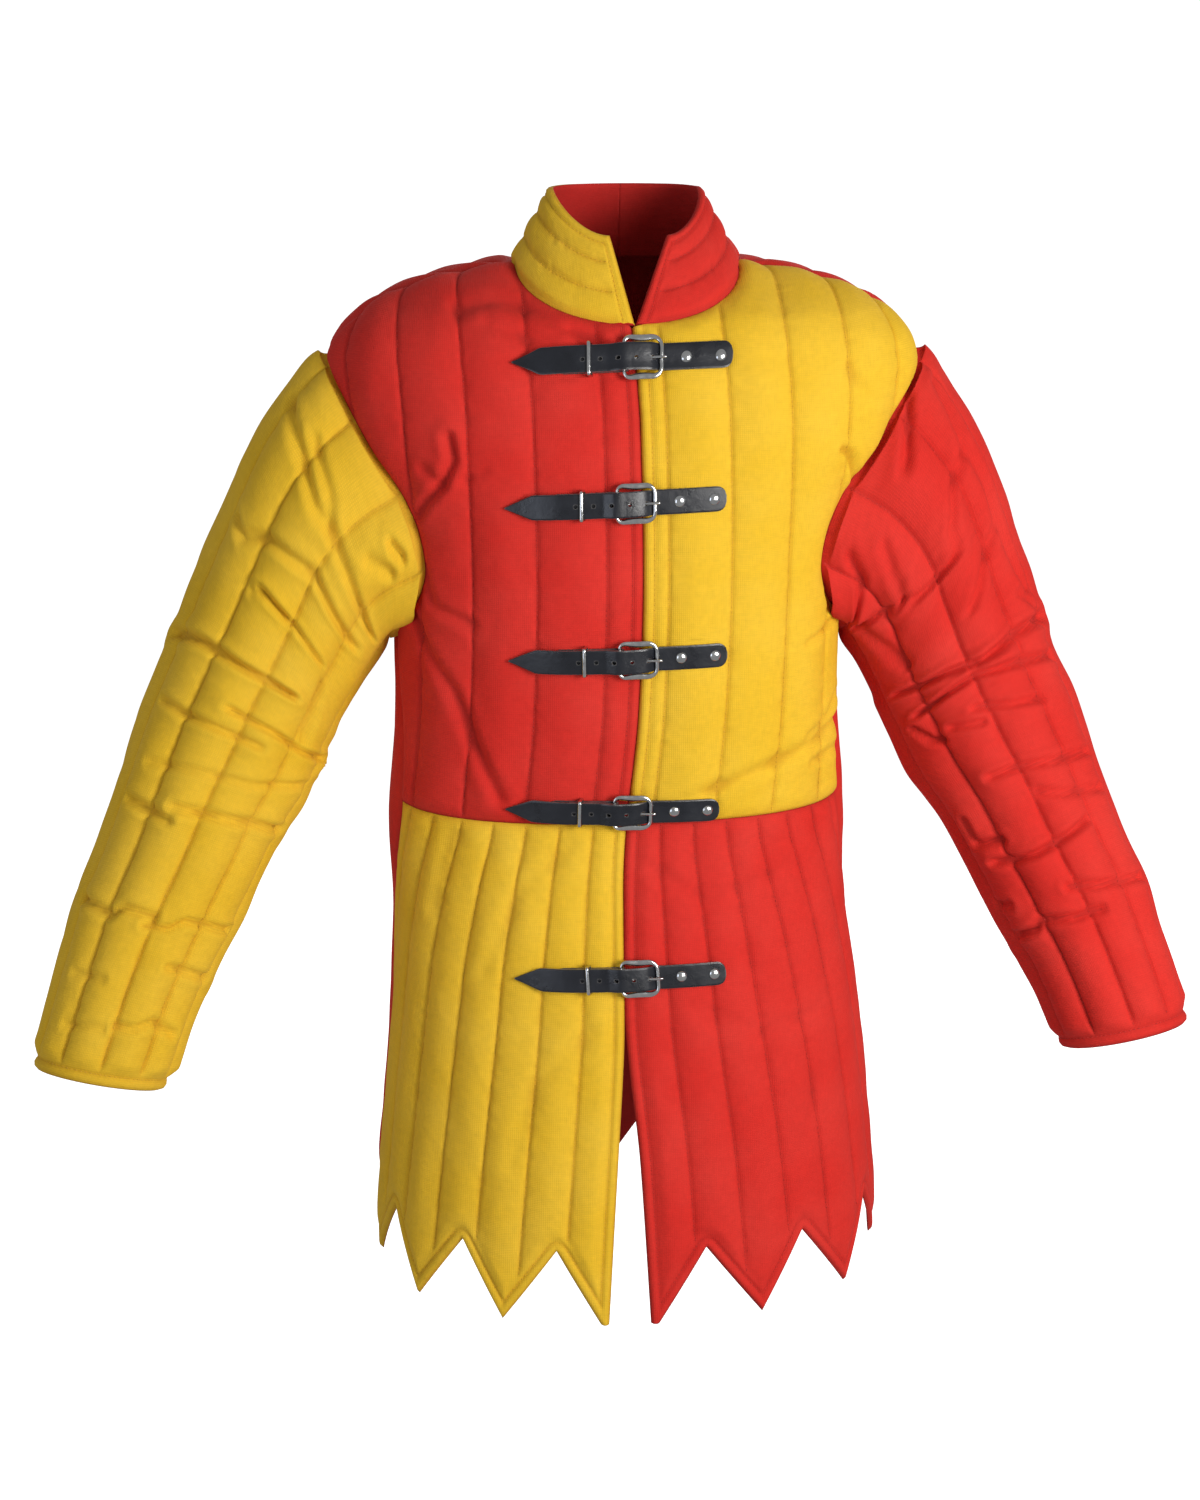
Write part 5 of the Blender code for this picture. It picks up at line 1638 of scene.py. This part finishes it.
def back_seams():
    seams = []
    hem = teeth(BACK_TIPS, BACK_VALLEYS, back_end)
    z = np.arange(HEM_TIP, NECK_POINT - 2, 1.5)
    for line in BACK_LINES[1:-1]:
        s = line * back_end(np.minimum(z, WAIST))
        keep = (to_zigzag(np.abs(s), z, *hem) > TOPSTITCH + 2) & (np.abs(s) < back_end(z) - 4)
        keep &= z > hem_height(min(abs(line), 1), BACK_TIPS, BACK_VALLEYS)
        seams += seams_on(*back_points(s, z), keep)
    s, z, keep = zigzag_inside(*hem, TOPSTITCH)
    keep &= s < back_end(z) - 2
    for sign in (-1, 1):
        seams += seams_on(*back_points(sign * s, z), keep & (s > 0))
    return seams


def sleeve_points(sign, at, turn):
    normal = sleeve_normal(sign, at, turn)
    points = sleeve_form(sign, at, turn) + normal * sleeve_relief(sign, at, turn)[..., None]
    return mirrored(points, sign), mirrored(normal, sign)


def sleeve_seams(sign):
    end = SLEEVE_END[sign]
    at = np.linspace(0.12, end - (TOPSTITCH + 2) / RING_STEP, 480)
    seams = [sleeve_points(sign, at, np.full_like(at, line)) for line in SLEEVE_LINES[:10]]
    turn = np.linspace(0, 360, 360)
    cuff = np.full_like(turn, end - TOPSTITCH / RING_STEP)
    return seams + [sleeve_points(sign, cuff, turn)]


for name, seams, slot in (
    ("thread_chest_right", chest_seams(-1), "red_cloth"),
    ("thread_chest_left", chest_seams(1), "yellow_cloth"),
    ("thread_skirt_right", skirt_seams(-1), "yellow_cloth"),
    ("thread_skirt_left", skirt_seams(1), "red_cloth"),
    ("thread_back", back_seams(), "red_cloth"),
    ("thread_sleeve_right", sleeve_seams(-1), "yellow_cloth"),
    ("thread_sleeve_left", sleeve_seams(1), "red_cloth"),
    ("thread_collar_right", COLLAR_SEAMS[-1], "yellow_cloth"),
    ("thread_collar_left", COLLAR_SEAMS[1], "red_cloth"),
):
    sew(name, seams, THREADS[slot])

# %% [markdown]
# ## Floor, light and camera
#
# The photograph is a plain studio picture. Its light stands near the camera, a little to the right, so the
# left sleeve is dimmer and every edge that turns away goes darker. A pale floor turns up into a wall all
# round, a soft light stands to the right, a weaker one to the left, and the pale world fills the rest.

# %% Floor and backdrop
FLOOR = 1450  # millimetres under the base of the neck


def backdrop():
    """A profile carried round: level to a radius of 4 m, a quarter circle of 2 m radius, and straight up.
    It is only seen, and neither lights the coat nor mirrors in the buckles."""
    turn = np.linspace(0, math.pi / 2, 13)
    r = np.concatenate([[1, 2000], 4000 + 2000 * np.sin(turn), [6000]])[:, None]
    z = np.concatenate([[0, 0], 2000 - 2000 * np.cos(turn), [8000]])[:, None] - FLOOR
    around = np.linspace(0, 2 * math.pi, 73)
    points = np.stack([r * np.cos(around), r * np.sin(around), z + 0 * around], -1)
    at = np.arange(points[..., 0].size).reshape(points.shape[:2])
    mesh = new_mesh("studio_floor", points, quads(at).reshape(-1, 4).tolist())
    mesh.shade_smooth()
    obj = place_in_scene("studio_floor", mesh)
    obj.visible_diffuse = obj.visible_glossy = obj.visible_shadow = False
    return obj


def painted_board():
    """Matt white paint on a board that is lit from behind, so that it stays near white: rough and even,
    with a little roller texture."""
    material, tree = new_material("matt white paint")
    place = add_node(tree, "TexCoord", output="Object")
    roller = add_node(tree, "TexNoise", {"Vector": place, "Scale": 300.0})
    bump = add_node(tree, "Bump", {"Height": roller, "Strength": 0.1, "Distance": 0.0005})
    shader = add_node(tree, "BsdfPrincipled", {
        "Base Color": linear("#F7F7F6"), "Roughness": 0.9, "Normal": bump,
        "Emission Color": linear("#FFFFFF"), "Emission Strength": 0.75,
    })
    add_node(tree, "OutputMaterial", {"Surface": shader})
    return material


floor = backdrop()
floor.data.materials.append(painted_board())
print("floor:", floor.name, "with", floor.data.materials[0].name)

# %% Lights
def stood(place, right, up, look):
    """The matrix that stands a light or camera at place: its columns are right, up, minus look, place."""
    turn = np.eye(4)
    turn[:3] = np.column_stack([right, up, -look, place])
    return Matrix(turn)


def soft_light(name, place, aim, size, power, colour):
    light = bpy.data.lights.new(name, "AREA")
    light.shape, light.size, light.size_y = "RECTANGLE", size[0], size[1]
    light.energy = power
    light.color = linear(colour)[:3]
    look = unit(np.array(aim, float) - np.array(place, float))
    side = unit(np.cross(look, (0, 0, 1)))
    place_in_scene(name, light).matrix_world = stood(place, side, np.cross(side, look), look)


soft_light("key_light", (1.2, -1.75, 0.1), (0.1, 0, -0.4), (1.0, 1.0), 44, "#FFFDFA")
soft_light("fill_light", (-1.45, -1.85, -0.25), (0, 0, -0.4), (0.9, 1.3), 8, "#E2ECFF")
soft_light("back_light", (0.5, 2.7, 0.4), (0, 0, -0.4), (1.6, 1.6), 26, "#FFFFFF")
world = bpy.data.worlds.new("pale studio")
world.use_nodes = True
sky = world.node_tree.nodes["Background"]
sky.inputs["Color"].default_value = linear("#FFFFFF")
sky.inputs["Strength"].default_value = 0.34
bpy.context.scene.world = world
bpy.context.scene.view_settings.view_transform = "Standard"

# %% Camera
TURNED, TILTED, YAWED = math.radians(-5), math.radians(16), math.radians(-0.36)
AWAY, ABOVE = 2.2, 0.2  # metres
SENSOR, LENS = 36, 61.39  # millimetres


def place_camera():
    """2.2 m before the coat and 0.2 m above the neck, turned 5 degrees round it and looking 16 degrees
    down, with a lens of 61.4 mm on a 36 mm frame."""
    right = np.array([math.cos(TURNED), math.sin(TURNED), 0])
    ahead = np.array([-math.sin(TURNED), math.cos(TURNED), 0])
    place = -ahead * AWAY + (0, 0, ABOVE)
    right, ahead = (
        right * math.cos(YAWED) - ahead * math.sin(YAWED),
        ahead * math.cos(YAWED) + right * math.sin(YAWED),
    )
    look = ahead * math.cos(TILTED) - np.array([0, 0, math.sin(TILTED)])
    up = ahead * math.sin(TILTED) + np.array([0, 0, math.cos(TILTED)])
    camera = bpy.data.cameras.new("camera")
    camera.sensor_width, camera.lens = SENSOR, LENS
    obj = place_in_scene("camera", camera)
    obj.matrix_world = stood(place, right, up, look)
    bpy.context.scene.camera = obj
    return obj


camera = place_camera()
print("camera at", np.round(camera.matrix_world.translation, 3).tolist())

# %% [markdown]
# ## Bring the scene up to date
#
# The coat is made to fill the CAD model's box and no more, apart from a little loft. The last line
# brings every piece's place up to date.

# %% Update the scene
bpy.context.view_layer.update()
